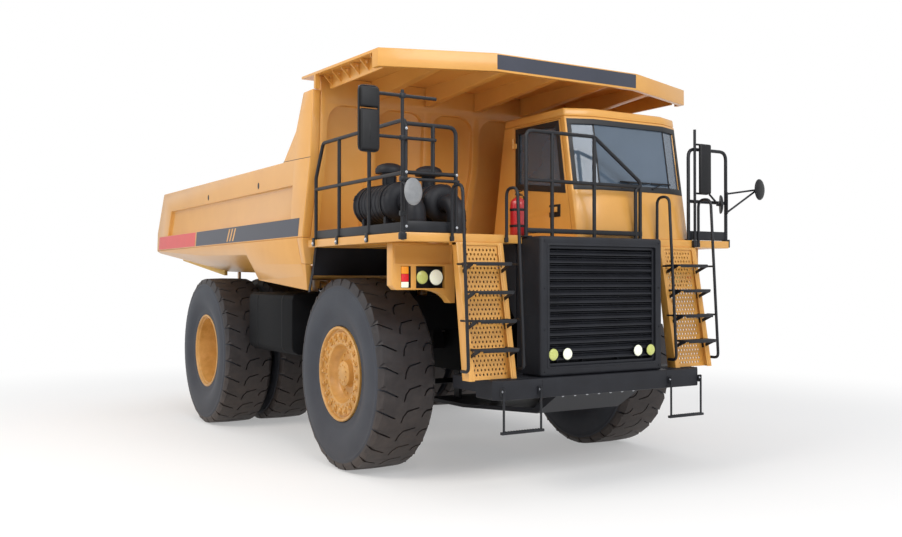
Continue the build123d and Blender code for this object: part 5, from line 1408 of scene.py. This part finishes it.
@dataclass
class Mirrors:
    """Mirror arms, two square heads and three round ones.

    Attributes:
        square_x: Outer edge of the right square head.
        line_y: Line of the arms.
        pole_x: X of the right pole.
        head_z: Heights of the right square heads' cross tubes.
        tube: Radius of the arms.
        thin: Radius of the thinner arms.
        rounds: Middle, direction and radius of the round heads.
    """

    square_x: float = 2.74
    line_y: float = FRONT_AXLE_Y - 1.9
    pole_x: float = -2.25
    head_z: Flat = (3.5, 3.9)
    tube: float = 0.0165
    thin: float = 0.0118
    rounds: tuple[tuple[Point, Point, float], ...] = (
        ((-2.25, FRONT_AXLE_Y - 2.1, 2.97), (0.4, -1, 0), 0.128),
        ((1.96, FRONT_AXLE_Y - 1.96, 3.03), (0.75, -0.66, 0), 0.11),
        ((2.7, FRONT_AXLE_Y - 1.9, 3.245), (0.3, -1, 0), 0.128),
    )

    def arms(self) -> Piece:
        """All the bent tubes that hold the heads.

        Returns:
            Tubes, hubs, clamps and feet as one piece.
        """
        y, p, deck_y, left = self.line_y, self.pole_x, FRONT_AXLE_Y - 1.8702, 1.615
        right_back, near_back, far_back = (tuple(Vector(centre) - Vector(axis).normalized() * 0.02)
                                           for centre, axis, _ in self.rounds)
        far = (2.17, y + 0.02)
        thick = [[(p, y, 2.545), (p, y, 3.955)], [(p, y, 3.11), (RAIL_END_X, y, 3.11)]]
        thick += [[(-2.71, y, z), (-1.88, y, z)] for z in self.head_z]
        thin = [[(1.85, y, 3.15), near_back], [(*far, 3.17), far_back], [(*far, 2.95), far_back],
                [(*far, 2.93), (*far, 3.19)]]
        parts = [Bench.pipe(points, self.tube) for points in thick]
        parts += [Bench.pipe([(p, y, 3.09), right_back], self.thin),
                  Bench.pipe([(left, y, 2.605), (left, y, 3.89)], self.tube),
                  Bench.pipe([(left, y, 3.72), (1.85, y, 3.72), (1.85, y, 3.15), (left, y, 3.15)], self.thin, 0.05)]
        parts += [Bench.pipe(points, self.thin) for points in thin]
        hub = [(-0.04, 0), (-0.04, 0.018), (-0.01, 0.02), (0.002, 0.03), (0.002, 0)]
        parts += [Bench.lathe(centre, axis, hub, 20) for centre, axis, _ in self.rounds]
        parts += [Bench.block((p - 0.026, y - 0.024, z - 0.024), (p + 0.026, y + 0.024, z + 0.024), 0.006)
                  for z in (2.58, 2.78, 3.11, *self.head_z)]
        parts.append(Bench.block((p - 0.03, FRONT_AXLE_Y - 1.92, 2.532), (-2.2095, deck_y, 2.594), 0.006))
        parts.append(Bench.block((1.59, FRONT_AXLE_Y - 1.915, 2.522), (1.64, deck_y, 2.604), 0.006))
        return Bench.joined(parts)

    def heads(self) -> Piece:
        """The shells of the square heads.

        Returns:
            The right loop with its two shells, and the left shell, as one piece.
        """
        y, x = self.line_y, -self.square_x
        near, far, front = x + 0.013, x + 0.217, y - 0.034
        loop = [(near, front, 3.65), (near, front, 3.343), (far, front, 3.343), (far, front, 3.947),
                (near, front, 3.947)]
        return Bench.joined([
            Bench.pipe(loop, 0.011, 0.05, closed=True),
            Bench.block((x + 0.022, y - 0.07, 3.35), (x + 0.208, y - 0.02, 3.735), 0.022, 4),
            Bench.block((x + 0.022, y - 0.066, 3.75), (x + 0.208, y - 0.02, 3.94), 0.022, 4),
            Bench.block((x + 0.105, y - 0.0705, 3.44), (x + 0.125, y - 0.06, 3.6)),
            Bench.block((1.655, y - 0.06, 3.145), (1.83, y - 0.0125, 3.725), 0.02, 4),
            Bench.block((1.675, y - 0.0598, 3.18), (1.81, y - 0.056, 3.69), 0.008)])

    def bowls(self) -> list[Piece]:
        """The round heads, domed in front and rimmed behind.

        Returns:
            The heads, right one first.
        """
        return [Bench.lathe(centre, axis, [(0.001, 0), (0.001, r - 0.004), (0.004, r), (0.012, r), (0.02, r * 0.95),
                                           (0.03, r * 0.8), (0.037, r * 0.5), (0.0395, 0)])
                for centre, axis, r in self.rounds]

    def build(self) -> None:
        """Build arms, heads and their glass."""
        Bench.hand_in(self.arms(), "mirror_tubes", "truck", TUBE_BLACK, "black_paint", ("mirror_arms",), 50)
        Bench.hand_in(self.heads(), "mirror_shells", "truck", TRIM, "mirror_shell", ("mirror_heads",))
        grey, *dark = self.bowls()
        Bench.hand_in(grey, "round_mirror_right", "truck", MIRROR_BACK, "mirror_shell")
        Bench.hand_in(Bench.joined(dark), "round_mirrors_left", "truck", TRIM, "mirror_shell")
        y, x = self.line_y, -self.square_x
        panes = [Bench.block((x + 0.015, y - 0.0215, 3.35), (x + 0.215, y - 0.0185, 3.73), 0.001, 1),
                 Bench.block((x + 0.015, y - 0.0215, 3.75), (x + 0.215, y - 0.0185, 3.945), 0.001, 1),
                 Bench.block((1.668, y - 0.0135, 3.165), (1.818, y - 0.0105, 3.705), 0.001, 1)]
        Bench.hand_in(Bench.joined(panes), "mirror_panes", "truck", MIRROR_GLASS, "mirror_shell")


@dataclass
class BodyPanels:
    """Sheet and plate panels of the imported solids, with their pressed and welded edges rounded.

    Attributes:
        panels: Node, body that carries it and width of its rounded edges.
    """

    panels: tuple[tuple[str, str, float], ...] = (
        ("cab_shell", "truck", 0.012), ("cab_roof", "truck", 0.022), ("deck_platform", "truck", 0.006),
        ("fender_pods", "truck", 0.03), ("bed_floor", "dump_bed", 0.014), ("bed_side_left", "dump_bed", 0.014),
        ("bed_side_right", "dump_bed", 0.014), ("bed_headboard", "dump_bed", 0.01),
        ("bed_canopy", "dump_bed", 0.004), ("cab_door_left", "door_left", 0.005),
        ("cab_door_right", "door_right", 0.005),
    )

    def rounded(self, node: str, width: float) -> Piece:
        """A copy of a solid's mesh with its triangles merged and its edges rounded.

        Args:
            node: Name of the solid.
            width: Width of the rounding.

        Returns:
            The new piece.
        """
        piece = Bench.copies(frame["nodes"][node], [Matrix.Identity(4)], keep=True)[0]
        Bench.edit(piece)
        bpy.ops.mesh.remove_doubles(threshold=0.0002)
        bpy.ops.mesh.dissolve_limited(angle_limit=math.radians(0.6))
        bpy.ops.object.mode_set(mode="OBJECT")
        edge = piece.modifiers.new("edge", "BEVEL")
        edge.width, edge.segments, edge.limit_method, edge.angle_limit = width, 2, "ANGLE", math.radians(24)
        bpy.ops.object.modifier_apply(modifier=edge.name)
        return piece

    @staticmethod
    def flanged(canopy: Piece) -> Piece:
        """Set the canopy's side skirts back below its top plate, on gussets with holes.

        Args:
            canopy: The rounded canopy.

        Returns:
            The canopy with its new skirts.
        """
        front, back, top, gussets = FRONT_AXLE_Y - 1.08, FRONT_AXLE_Y + 0.2, 4.4885, 6
        skirt = [(front - 0.02, 4.34), (back + 0.01, 4.34), (back + 0.01, top + 0.004), (front - 0.02, top + 0.004)]
        gusset = [[(2.04, 4.36), (2.04, top + 0.004), (2.15, top + 0.004), (2.15, top - 0.02)],
                  oval((2.085, top - 0.035), 0.018, 0.018, 12)]
        parts = [Bench.side_plate([skirt], (2.02, 2.045))]
        for index in range(gussets):
            y = front + 0.06 + (back - front - 0.12) * index / (gussets - 1)
            parts.append(Bench.front_plate(gusset, (y - 0.008, y + 0.008)))
        for sign in (1, -1):
            Bench.cut(canopy, Bench.block((2.05 * sign, front, 4.3), (2.3 * sign, back, top), 0))
        return Bench.joined([canopy, Bench.both_sides(Bench.joined(parts))])

    def build(self) -> None:
        """Round and dress every panel."""
        for node, body, width in self.panels:
            piece = self.rounded(node, width)
            if node == "bed_canopy":
                piece = self.flanged(piece)
            Bench.hand_in(piece, f"{node}_panel", body, YELLOW, "body_paint", (node,), 30)


@dataclass
class Cab:
    """Glass surrounds, wipers, handles and the inside of the cab.

    Attributes:
        floor_z: Deck level, where the front stands furthest forward.
        roof_z: Top of the roof.
        front_y: Front at deck level.
        rear_y: Back at deck level.
        corner: Width of each slanted front corner.
        right_x: Outer face on the right.
        left_x: Outer face on the left.
        glass_z: Lower and upper edge of the windscreen.
    """

    floor_z: float = 2.605
    roof_z: float = 4.06
    front_y: float = FRONT_AXLE_Y - 1.86
    rear_y: float = FRONT_AXLE_Y - 0.11
    corner: float = 0.31
    right_x: float = 0.0
    left_x: float = 1.665
    glass_z: Flat = (3.2, 3.88)

    def share(self, z: float) -> float:
        """How far a height is between the deck and the roof."""
        return (z - self.floor_z) / (self.roof_z - self.floor_z)

    def leaned(self, piece: Piece, lean: float) -> Piece:
        """Lean an upright piece as the cab's wall leans.

        Args:
            piece: The upright piece.
            lean: How far back the roof stands, or forwards where negative.

        Returns:
            The same piece.
        """
        for vertex in piece.data.vertices:
            vertex.co.y += lean * self.share(vertex.co.z)
        return piece

    def front_line(self, x: float) -> float:
        """Y of the front at deck level for an X."""
        aside = max(self.right_x + self.corner - x, x - (self.left_x - self.corner), 0.0)
        return self.front_y + 0.12 * aside / self.corner

    def band(self, x_span: Flat, z_span: Flat, out: float, depth: float) -> Piece:
        """A strip along the leaning front.

        Args:
            x_span: Its right and left end.
            z_span: Its lower and upper edge.
            out: How far it stands out of the front.
            depth: How far it goes in.

        Returns:
            The strip.
        """
        bends = [x for x in (self.corner, self.left_x - self.corner) if x_span[0] < x < x_span[1]]
        stops = [x_span[0], *bends, x_span[1]]
        front = [(x, self.front_line(x) - out) for x in stops]
        back = [(x, self.front_line(x) + depth) for x in reversed(stops)]
        place = Matrix.Translation((0, 0, sum(z_span) / 2))
        piece = Bench.plate([front + back], z_span[1] - z_span[0], place, 0.002)
        return self.leaned(piece, 0.24)

    def surrounds(self) -> None:
        """The black frame round the windscreen and the rear window."""
        low, high = self.glass_z
        strips = (((0.018, 1.647), (low - 0.062, low + 0.004), 0.005, 0.03),
                  ((0.018, 1.647), (high - 0.004, high + 0.058), 0.005, 0.03),
                  ((0.018, 0.062), (low, high), 0.005, 0.03), ((1.603, 1.647), (low, high), 0.005, 0.03),
                  ((0.304, 0.318), (low, high), -0.006, 0.02), ((1.347, 1.361), (low, high), -0.006, 0.02))
        parts = [self.band(*strip) for strip in strips]
        outer = [(0.31, 3.16), (1.355, 3.16), (1.355, 3.89), (0.31, 3.89)]
        inner = [(0.36, 3.21), (1.305, 3.21), (1.305, 3.84), (0.36, 3.84)]
        rear = Bench.front_plate([outer, inner], (self.rear_y - 0.02, self.rear_y + 0.005), 0.002)
        parts.append(self.leaned(rear, -0.26))
        Bench.hand_in(Bench.joined(parts), "window_surrounds", "truck", RUBBER_SEAL, "cab_trim")

    def wipers(self) -> None:
        """Two wipers that rest along the lower edge of the windscreen."""
        parts = []
        for pivot, tip in ((0.62, 0.98), (1.08, 1.3)):
            z = self.glass_z[0] - 0.02
            y = self.front_y + 0.24 * self.share(z)
            parts.append(Bench.lathe((pivot, y + 0.004, z), (0, -1, 0.16), [(0, 0), (0, 0.017), (0.016, 0.015),
                                                                           (0.022, 0.008), (0.022, 0)], 20))
            parts.append(Bench.pipe([(pivot, y - 0.014, z), (pivot + 0.1, y - 0.01, z + 0.05),
                                     (tip - 0.06, y - 0.002, z + 0.07)], 0.006, 0.02, 2))
            parts.append(Bench.block((pivot - 0.02, y - 0.006, z + 0.055), (tip + 0.06, y + 0.012, z + 0.073), 0.003))
        Bench.hand_in(Bench.joined(parts), "windscreen_wipers", "truck", TRIM, "cab_trim")

    def door(self, name: str, skin_x: float, out: int) -> None:
        """Window surround and handle of one door.

        Args:
            name: The door's side.
            skin_x: Outer face of its skin.
            out: Sign of the X direction that it looks.
        """
        y = FRONT_AXLE_Y
        outer = [(y - 0.592, 3.21), (y - 1.545, 3.105), (y - 1.417, 3.93), (y - 0.592, 3.93)]
        inner = [(y - 0.655, 3.278), (y - 1.462, 3.185), (y - 1.363, 3.865), (y - 0.655, 3.865)]
        seal = Bench.side_plate([outer, inner], (skin_x - 0.02 * out, skin_x + 0.005 * out), 0.002)
        Bench.hand_in(seal, f"door_{name}_seal", f"door_{name}", RUBBER_SEAL, "cab_trim")
        back, pad, grip, face = (skin_x + away * out for away in (-0.004, 0.007, 0.018, 0.0295))
        parts = [Bench.block((back, y - 1.45, 2.85), (pad, y - 1.25, 2.99), 0.004, 3),
                 Bench.block((grip, y - 1.4, 2.905), (face, y - 1.27, 2.945), 0.005, 3)]
        parts += [Bench.block((back, foot, 2.912), (face, foot + 0.02, 2.938), 0.003)
                  for foot in (y - 1.395, y - 1.295)]
        Bench.hand_in(Bench.joined(parts), f"door_{name}_handle", f"door_{name}", TRIM, "cab_trim")

    def inside(self) -> None:
        """Seat, console and steering wheel."""
        y, floor = FRONT_AXLE_Y, self.floor_z + 0.055
        cushions = [Bench.block((0.56, y - 1.0, floor + 0.285), (1.1, y - 0.505, floor + 0.42), 0.05, 4),
                    Bench.block((0.62, y - 0.2, -0.06), (1.04, y + 0.48, 0.06), 0.05, 4)]
        cushions[1].data.transform(Matrix.Translation((0, y - 0.55, floor + 0.45)) @ Matrix.Rotation(
            math.radians(84), 4, "X") @ Matrix.Translation((0, -y + 0.16, 0)))
        Bench.hand_in(Bench.joined(cushions), "operator_seat", "truck", SEAT_CLOTH, "cab_trim", ("cab_interior",))
        foot = Bench.block((0.66, y - 0.95, floor + 0.001), (1.0, y - 0.56, floor + 0.3), 0.02, 2)
        dash = Bench.side_plate([from_axle([(-1.688, floor), (-1.45, floor), (-1.402, 3.115), (-1.45, 3.165),
                                            (-1.56, 3.185), (-1.655, 3.095)])], (0.225, 1.44), 0.012)
        hub, turn = Vector((0.83, y - 1.31, 3.17)), Vector((0, 1, 1)).normalized()
        round_bar = [(along, radius) for radius, along in oval((0.193, 0.013), 0.014, 0.014, 10)]
        ring = Bench.lathe(hub, turn, round_bar, 48, closed=True)
        boss = Bench.lathe(hub, turn, [(-0.165, 0), (-0.165, 0.026), (-0.01, 0.026), (0.0, 0.058), (0.02, 0.056),
                                       (0.026, 0.04), (0.026, 0)], 28)
        spokes, middle = [], hub + turn * 0.012
        across = Vector(SIDEWAYS)
        upward = turn.cross(across)
        for angle in (0.35, math.pi - 0.35, -math.pi / 2):
            reach = across * math.cos(angle) + upward * math.sin(angle)
            spokes.append(Bench.pipe([middle + reach * 0.04, middle + reach * 0.19], 0.0095, 0, 2))
        Bench.hand_in(Bench.joined([foot, dash, ring, boss, *spokes]), "cab_fittings", "truck", TRIM, "cab_trim")

    def build(self) -> None:
        """Dress the cab."""
        self.surrounds()
        self.wipers()
        self.door("left", self.left_x, 1)
        self.door("right", self.right_x, -1)
        self.inside()


@dataclass
class BedTrim:
    """Blank film stripes, seams, black ovals painted as the shade in the drain holes, and wear strips of the dump
    body.

    Attributes:
        side_x: Outer face of the body's sides.
        stripe_z: Lower and upper edge of the stripes.
        slant: How far a stripe's upper edge stands ahead of its lower one.
    """

    side_x: float = 2.25
    stripe_z: Flat = (2.66, 2.872)
    slant: float = 0.05

    def stripe(self, rear: float, front: float) -> list[Flat]:
        """The outline of a stripe with slanted ends, measured from the front axle."""
        low, high = self.stripe_z
        return from_axle([(rear, low), (front, low), (front - self.slant, high), (rear - self.slant, high)])

    def films(self) -> None:
        """Red and slate stripes on both sides and the blank slate band on the canopy."""
        span = (self.side_x - 0.001, self.side_x + 0.0015)
        red = Bench.side_plate([self.stripe(6.84, 4.76)], span)
        Bench.hand_in(Bench.both_sides(red), "red_stripes", "dump_bed", RED_FILM, "red_paint")
        slate = Bench.side_plate([self.stripe(4.70, 0.66)], span)
        band = Bench.front_plate([[(-0.965, 4.352), (0.965, 4.352), (0.965, 4.508), (-0.965, 4.508)]],
                                 (FRONT_AXLE_Y - 1.6215, FRONT_AXLE_Y - 1.618))
        Bench.hand_in(Bench.joined([Bench.both_sides(slate), band]), "slate_stripes", "dump_bed", SLATE_FILM,
                      "black_paint")
        dashes = [Bench.side_plate([from_axle([(y + 0.05, 2.68), (y, 2.68), (y - 0.12, 2.852), (y - 0.07, 2.852)])],
                                   (span[0], span[1] + 0.001)) for y in (3.2, 3.08, 2.96)]
        Bench.hand_in(Bench.both_sides(Bench.joined(dashes)), "stripe_dashes", "dump_bed", YELLOW, "body_paint")

    def seams(self) -> None:
        """Dark joints across the posts, and black ovals on the top rails that paint the shade inside their drain
        holes.
        """
        x = self.side_x
        parts = [Bench.side_plate([from_axle([(0.302, 3.553), (1.12, 3.577), (1.12, 3.583), (0.302, 3.559)])],
                                  (x - 0.004, x + 0.0008))]
        # Painted shade: black ovals where the drain holes are, not real holes
        for y in (1.98, 4.08):
            parts.append(Bench.side_plate([oval((FRONT_AXLE_Y + y, 3.36), 0.03, 0.042, 20)], (x - 0.006, x + 0.0012)))
        Bench.hand_in(Bench.both_sides(Bench.joined(parts)), "body_seams_and_hole_shade", "dump_bed", RUBBER_SEAL, "black_paint")

    def wear(self) -> None:
        """Pale strips under the tail, where the load slides out."""
        strip = Bench.side_plate([from_axle([(4.62, 2.212), (6.86, 2.475), (6.9, 2.6), (4.62, 2.33)])],
                                 (1.775, 1.825), 0.004)
        Bench.hand_in(Bench.both_sides(strip), "tail_wear_strips", "dump_bed", PALE_YELLOW, "body_paint")

    def fillets(self) -> None:
        """Rounded corners at the top of the headboard's bays."""
        parts, radius, steps, top = [], 0.2, 6, 4.18
        for low, high in ((-2.04, -1.5), (-1.4, -0.76), (-0.66, -0.05), (0.05, 0.66), (0.76, 1.4), (1.5, 2.04)):
            for edge, way in ((low, 1), (high, -1)):
                turns = [FULL_TURN / 4 * step / steps for step in range(steps + 1)]
                arc = [(edge + way * radius * (1 - math.cos(turn)), top - radius * (1 - math.sin(turn)))
                       for turn in turns]
                corner = [(edge - way * 0.01, top + 0.01), (edge - way * 0.01, top - radius), *arc,
                          (edge + way * radius, top + 0.01)]
                parts.append(Bench.front_plate([corner], (FRONT_AXLE_Y + 0.302, FRONT_AXLE_Y + 0.365)))
        piece = Bench.joined(parts)
        for vertex in piece.data.vertices:
            vertex.co.y -= 0.0567 * (vertex.co.z - 3.555)
        Bench.hand_in(piece, "headboard_bay_corners", "dump_bed", YELLOW, "body_paint")

    def build(self) -> None:
        """Build all the trim of the dump body."""
        self.films()
        self.seams()
        self.wear()
        self.fillets()


@dataclass
class Tanks:
    """The two side tanks with their straps and caps.

    Attributes:
        outer_x: Outer face of the tanks.
        y_span: Front and rear end.
        z_span: Bottom and top.
    """

    outer_x: float = 2.0
    y_span: Flat = (FRONT_AXLE_Y + 1.45, FRONT_AXLE_Y + 3.02)
    z_span: Flat = (1.19, 1.975)

    def build(self) -> None:
        """Build the tanks with straps and caps."""
        low, high = self.z_span
        x = self.outer_x
        outline = [(1.0, low + 0.02), (1.02, low), (x - 0.09, low), (x - 0.02, low + 0.045), (x, low + 0.1),
                   (x, high - 0.09), (x - 0.02, high - 0.03), (x - 0.07, high), (1.02, high), (1.0, high - 0.02)]
        tank = Bench.front_plate([outline], self.y_span, 0.018)
        band = [(a + 0.0015, b) for a, b in outline]
        straps = [Bench.front_plate([band], (y, y + 0.06), 0.002)
                  for y in (self.y_span[0] + 0.3, self.y_span[1] - 0.36)]
        cap = Bench.lathe((x - 0.3, self.y_span[0] + 0.16, high - 0.045), UPWARDS,
                          [(0, 0), (0, 0.062), (0.02, 0.062), (0.024, 0.055), (0.0445, 0.052), (0.0445, 0)], 32)
        tanks = Bench.both_sides(Bench.joined([tank, *straps, cap]))
        # The tanks take the darker chassis paint, not their own black, as painted shade for the deep shadow that they
        # stand in
        Bench.hand_in(tanks, "shade_darkened_tank_shells", "truck", FRAME_PAINT_AND_SHADE, "tank_paint", ("fuel_tank", "hydraulic_tank"))


ASSEMBLIES = (Wheels, RadiatorFront, Lamps, Bumper, Ladders, DeckRails, Extinguisher, AirCleaners, Mirrors,
              BodyPanels, Cab, BedTrim, Tanks)


@dataclass
class Studio:
    """Camera at the photograph's angle, soft lamps, pale floor and white backdrop.

    Attributes:
        eye: Place of the camera.
        heading: Degrees that the camera looks from +Y towards +X.
        pitch: Degrees above the horizon.
        lens: Focal length in millimetres on a 36 mm wide sensor.
    """

    eye: Point = (-6.641, -12.283, 2.151)
    heading: float = 31.545
    pitch: float = 0.645
    lens: float = 38.43

    def camera(self) -> None:
        """Create the camera and make it the scene's."""
        lens = bpy.data.cameras.new("photo_camera")
        lens.lens, lens.sensor_width, lens.sensor_fit, lens.clip_end = self.lens, 36.0, "HORIZONTAL", 200.0
        eye = bpy.data.objects.new("photo_camera", lens)
        eye.location = self.eye
        eye.rotation_euler = (math.radians(90 + self.pitch), 0, -math.radians(self.heading))
        bpy.context.scene.collection.objects.link(eye)
        bpy.context.scene.camera = eye

    @staticmethod
    def lamp(name: str, place: Point, target: Point, size: Flat, power: float, colour: str) -> None:
        """A soft rectangular lamp that looks at a target.

        Args:
            name: Its name.
            place: Where it hangs.
            target: Where it looks.
            size: Its width and height.
            power: Its power in watts.
            colour: Its colour, sRGB.
        """
        light = bpy.data.lights.new(name, "AREA")
        light.shape, light.size, light.size_y, light.energy = "RECTANGLE", size[0], size[1], power
        light.color = linear(colour)[:3]
        holder = bpy.data.objects.new(name, light)
        holder.location = place
        holder.rotation_euler = (Vector(target) - Vector(place)).to_track_quat("-Z", "Y").to_euler()
        bpy.context.scene.collection.objects.link(holder)

    @staticmethod
    def seen_rays(tree: bpy.types.NodeTree) -> bpy.types.NodeSocket:
        """Tell the rays that see plain white: the camera's and those of reflections and clear surfaces.

        Args:
            tree: The node tree to add to.

        Returns:
            The output that is 1 for these rays.
        """
        ray = add_node(tree, "ShaderNodeLightPath", {}, {})
        seen = ray.outputs["Is Camera Ray"]
        for other in ("Is Glossy Ray", "Is Transmission Ray"):
            seen = add_node(tree, "ShaderNodeMath", {"operation": "MAXIMUM"},
                            {"0": seen, "1": ray.outputs[other]}).outputs["Value"]
        return seen

    def world(self) -> None:
        """Even daylight that the camera, and glossy and clear surfaces, see as white."""
        world = bpy.data.worlds.new("studio")
        bpy.context.scene.world = world
        world.use_nodes = True
        tree = world.node_tree
        tree.nodes.clear()
        light = add_node(tree, "ShaderNodeBackground", {"Color": linear("#F2F4F8"), "Strength": 0.5}, {})
        white = add_node(tree, "ShaderNodeBackground", {"Color": (1, 1, 1, 1), "Strength": 1.0}, {})
        mixed = add_node(tree, "ShaderNodeMixShader", {}, {"Fac": self.seen_rays(tree),
                                                          "1": light.outputs["Background"],
                                                          "2": white.outputs["Background"]})
        add_node(tree, "ShaderNodeOutputWorld", {}, {"Surface": mixed.outputs["Shader"]})

    def floor(self) -> None:
        """A plain pale floor that runs out to the backdrop and keeps the truck's shadow."""
        Bench.clear()
        bpy.ops.mesh.primitive_circle_add(vertices=96, radius=70, fill_type="NGON", location=(0, 0, -0.002))
        ground = Bench.settle(bpy.context.object)
        ground.name = "studio_floor"
        made = bpy.data.materials.new("painted_studio_floor")
        made.use_nodes = True
        tree = made.node_tree
        tree.nodes.clear()
        place = add_node(tree, "ShaderNodeTexCoord", {}, {}).outputs["Object"]
        reach = add_node(tree, "ShaderNodeVectorMath", {"operation": "LENGTH"}, {"0": place})
        away = add_node(tree, "ShaderNodeMapRange",
                        {"interpolation_type": "SMOOTHSTEP", "From Min": 4.5, "From Max": 12.5, "To Min": 0.35},
                        {"Value": reach.outputs["Value"]})
        paint = add_node(tree, "ShaderNodeBsdfDiffuse", {"Color": linear("#FAFAFA")}, {})
        white = add_node(tree, "ShaderNodeEmission", {"Color": (1, 1, 1, 1), "Strength": 1.0}, {})
        share = add_node(tree, "ShaderNodeMath", {"operation": "MULTIPLY"},
                         {"0": away.outputs["Result"], "1": self.seen_rays(tree)})
        mixed = add_node(tree, "ShaderNodeMixShader", {}, {"Fac": share.outputs["Value"], "1": paint.outputs["BSDF"],
                                                          "2": white.outputs["Emission"]})
        add_node(tree, "ShaderNodeOutputMaterial", {}, {"Surface": mixed.outputs["Shader"]})
        ground.data.materials.append(made)

    def build(self) -> None:
        """Set up the whole studio."""
        self.camera()
        self.world()
        self.floor()
        self.lamp("key_softbox", (-12.5, -4.0, 11.5), (0, 0, 1.5), (8, 6), 1020, "#FFF8EE")
        self.lamp("front_softbox", (-1.5, -14.0, 8.5), (0, -2, 1.6), (9, 5), 820, "#FFFFFF")
        self.lamp("top_softbox", (0.0, 2.0, 12.0), (0, 0, 2), (10, 12), 500, "#FFFFFF")
        bpy.context.scene.view_settings.view_transform = "Standard"


@dataclass
class FrameFinishes:
    """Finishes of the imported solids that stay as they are.

    Attributes:
        finishes: Finish of each material slot.
    """

    finishes: dict[str, Finish] = field(default_factory=lambda: {
        "frame_paint": FRAME_PAINT_AND_SHADE, "cast_iron": CASTING, "strut_paint": FRAME_PAINT_AND_SHADE, "tyre": SIDEWALL,
        "rim_paint": RIM_YELLOW, "black_paint": BLACK, "body_paint": YELLOW, "lamp_lens": WHITE_LENS,
        "window_glass": GLASS, "cab_trim": TRIM, "mirror_shell": TRIM, "red_paint": RED,
        "tank_paint": BLACK, "chromed_rod": CHROME})

    def dress(self) -> None:
        """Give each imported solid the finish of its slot."""
        for part in frame["record"]["subparts"]:
            node = frame["nodes"][part["node"]]
            node.data.materials.clear()
            node.data.materials.append(self.finishes[part["material_slot"]].material())
            LOG.info("%s has the finish %s", part["node"], self.finishes[part["material_slot"]].name)


def main() -> None:
    """Build the studio and every sub-assembly in order."""
    logging.basicConfig(level=logging.INFO, format="%(name)s: %(message)s")
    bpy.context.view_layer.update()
    Studio().build()
    FrameFinishes().dress()
    for assembly in ASSEMBLIES:
        LOG.info("building %s", assembly.__name__)
        assembly().build()


if __name__ == "__main__":
    main()
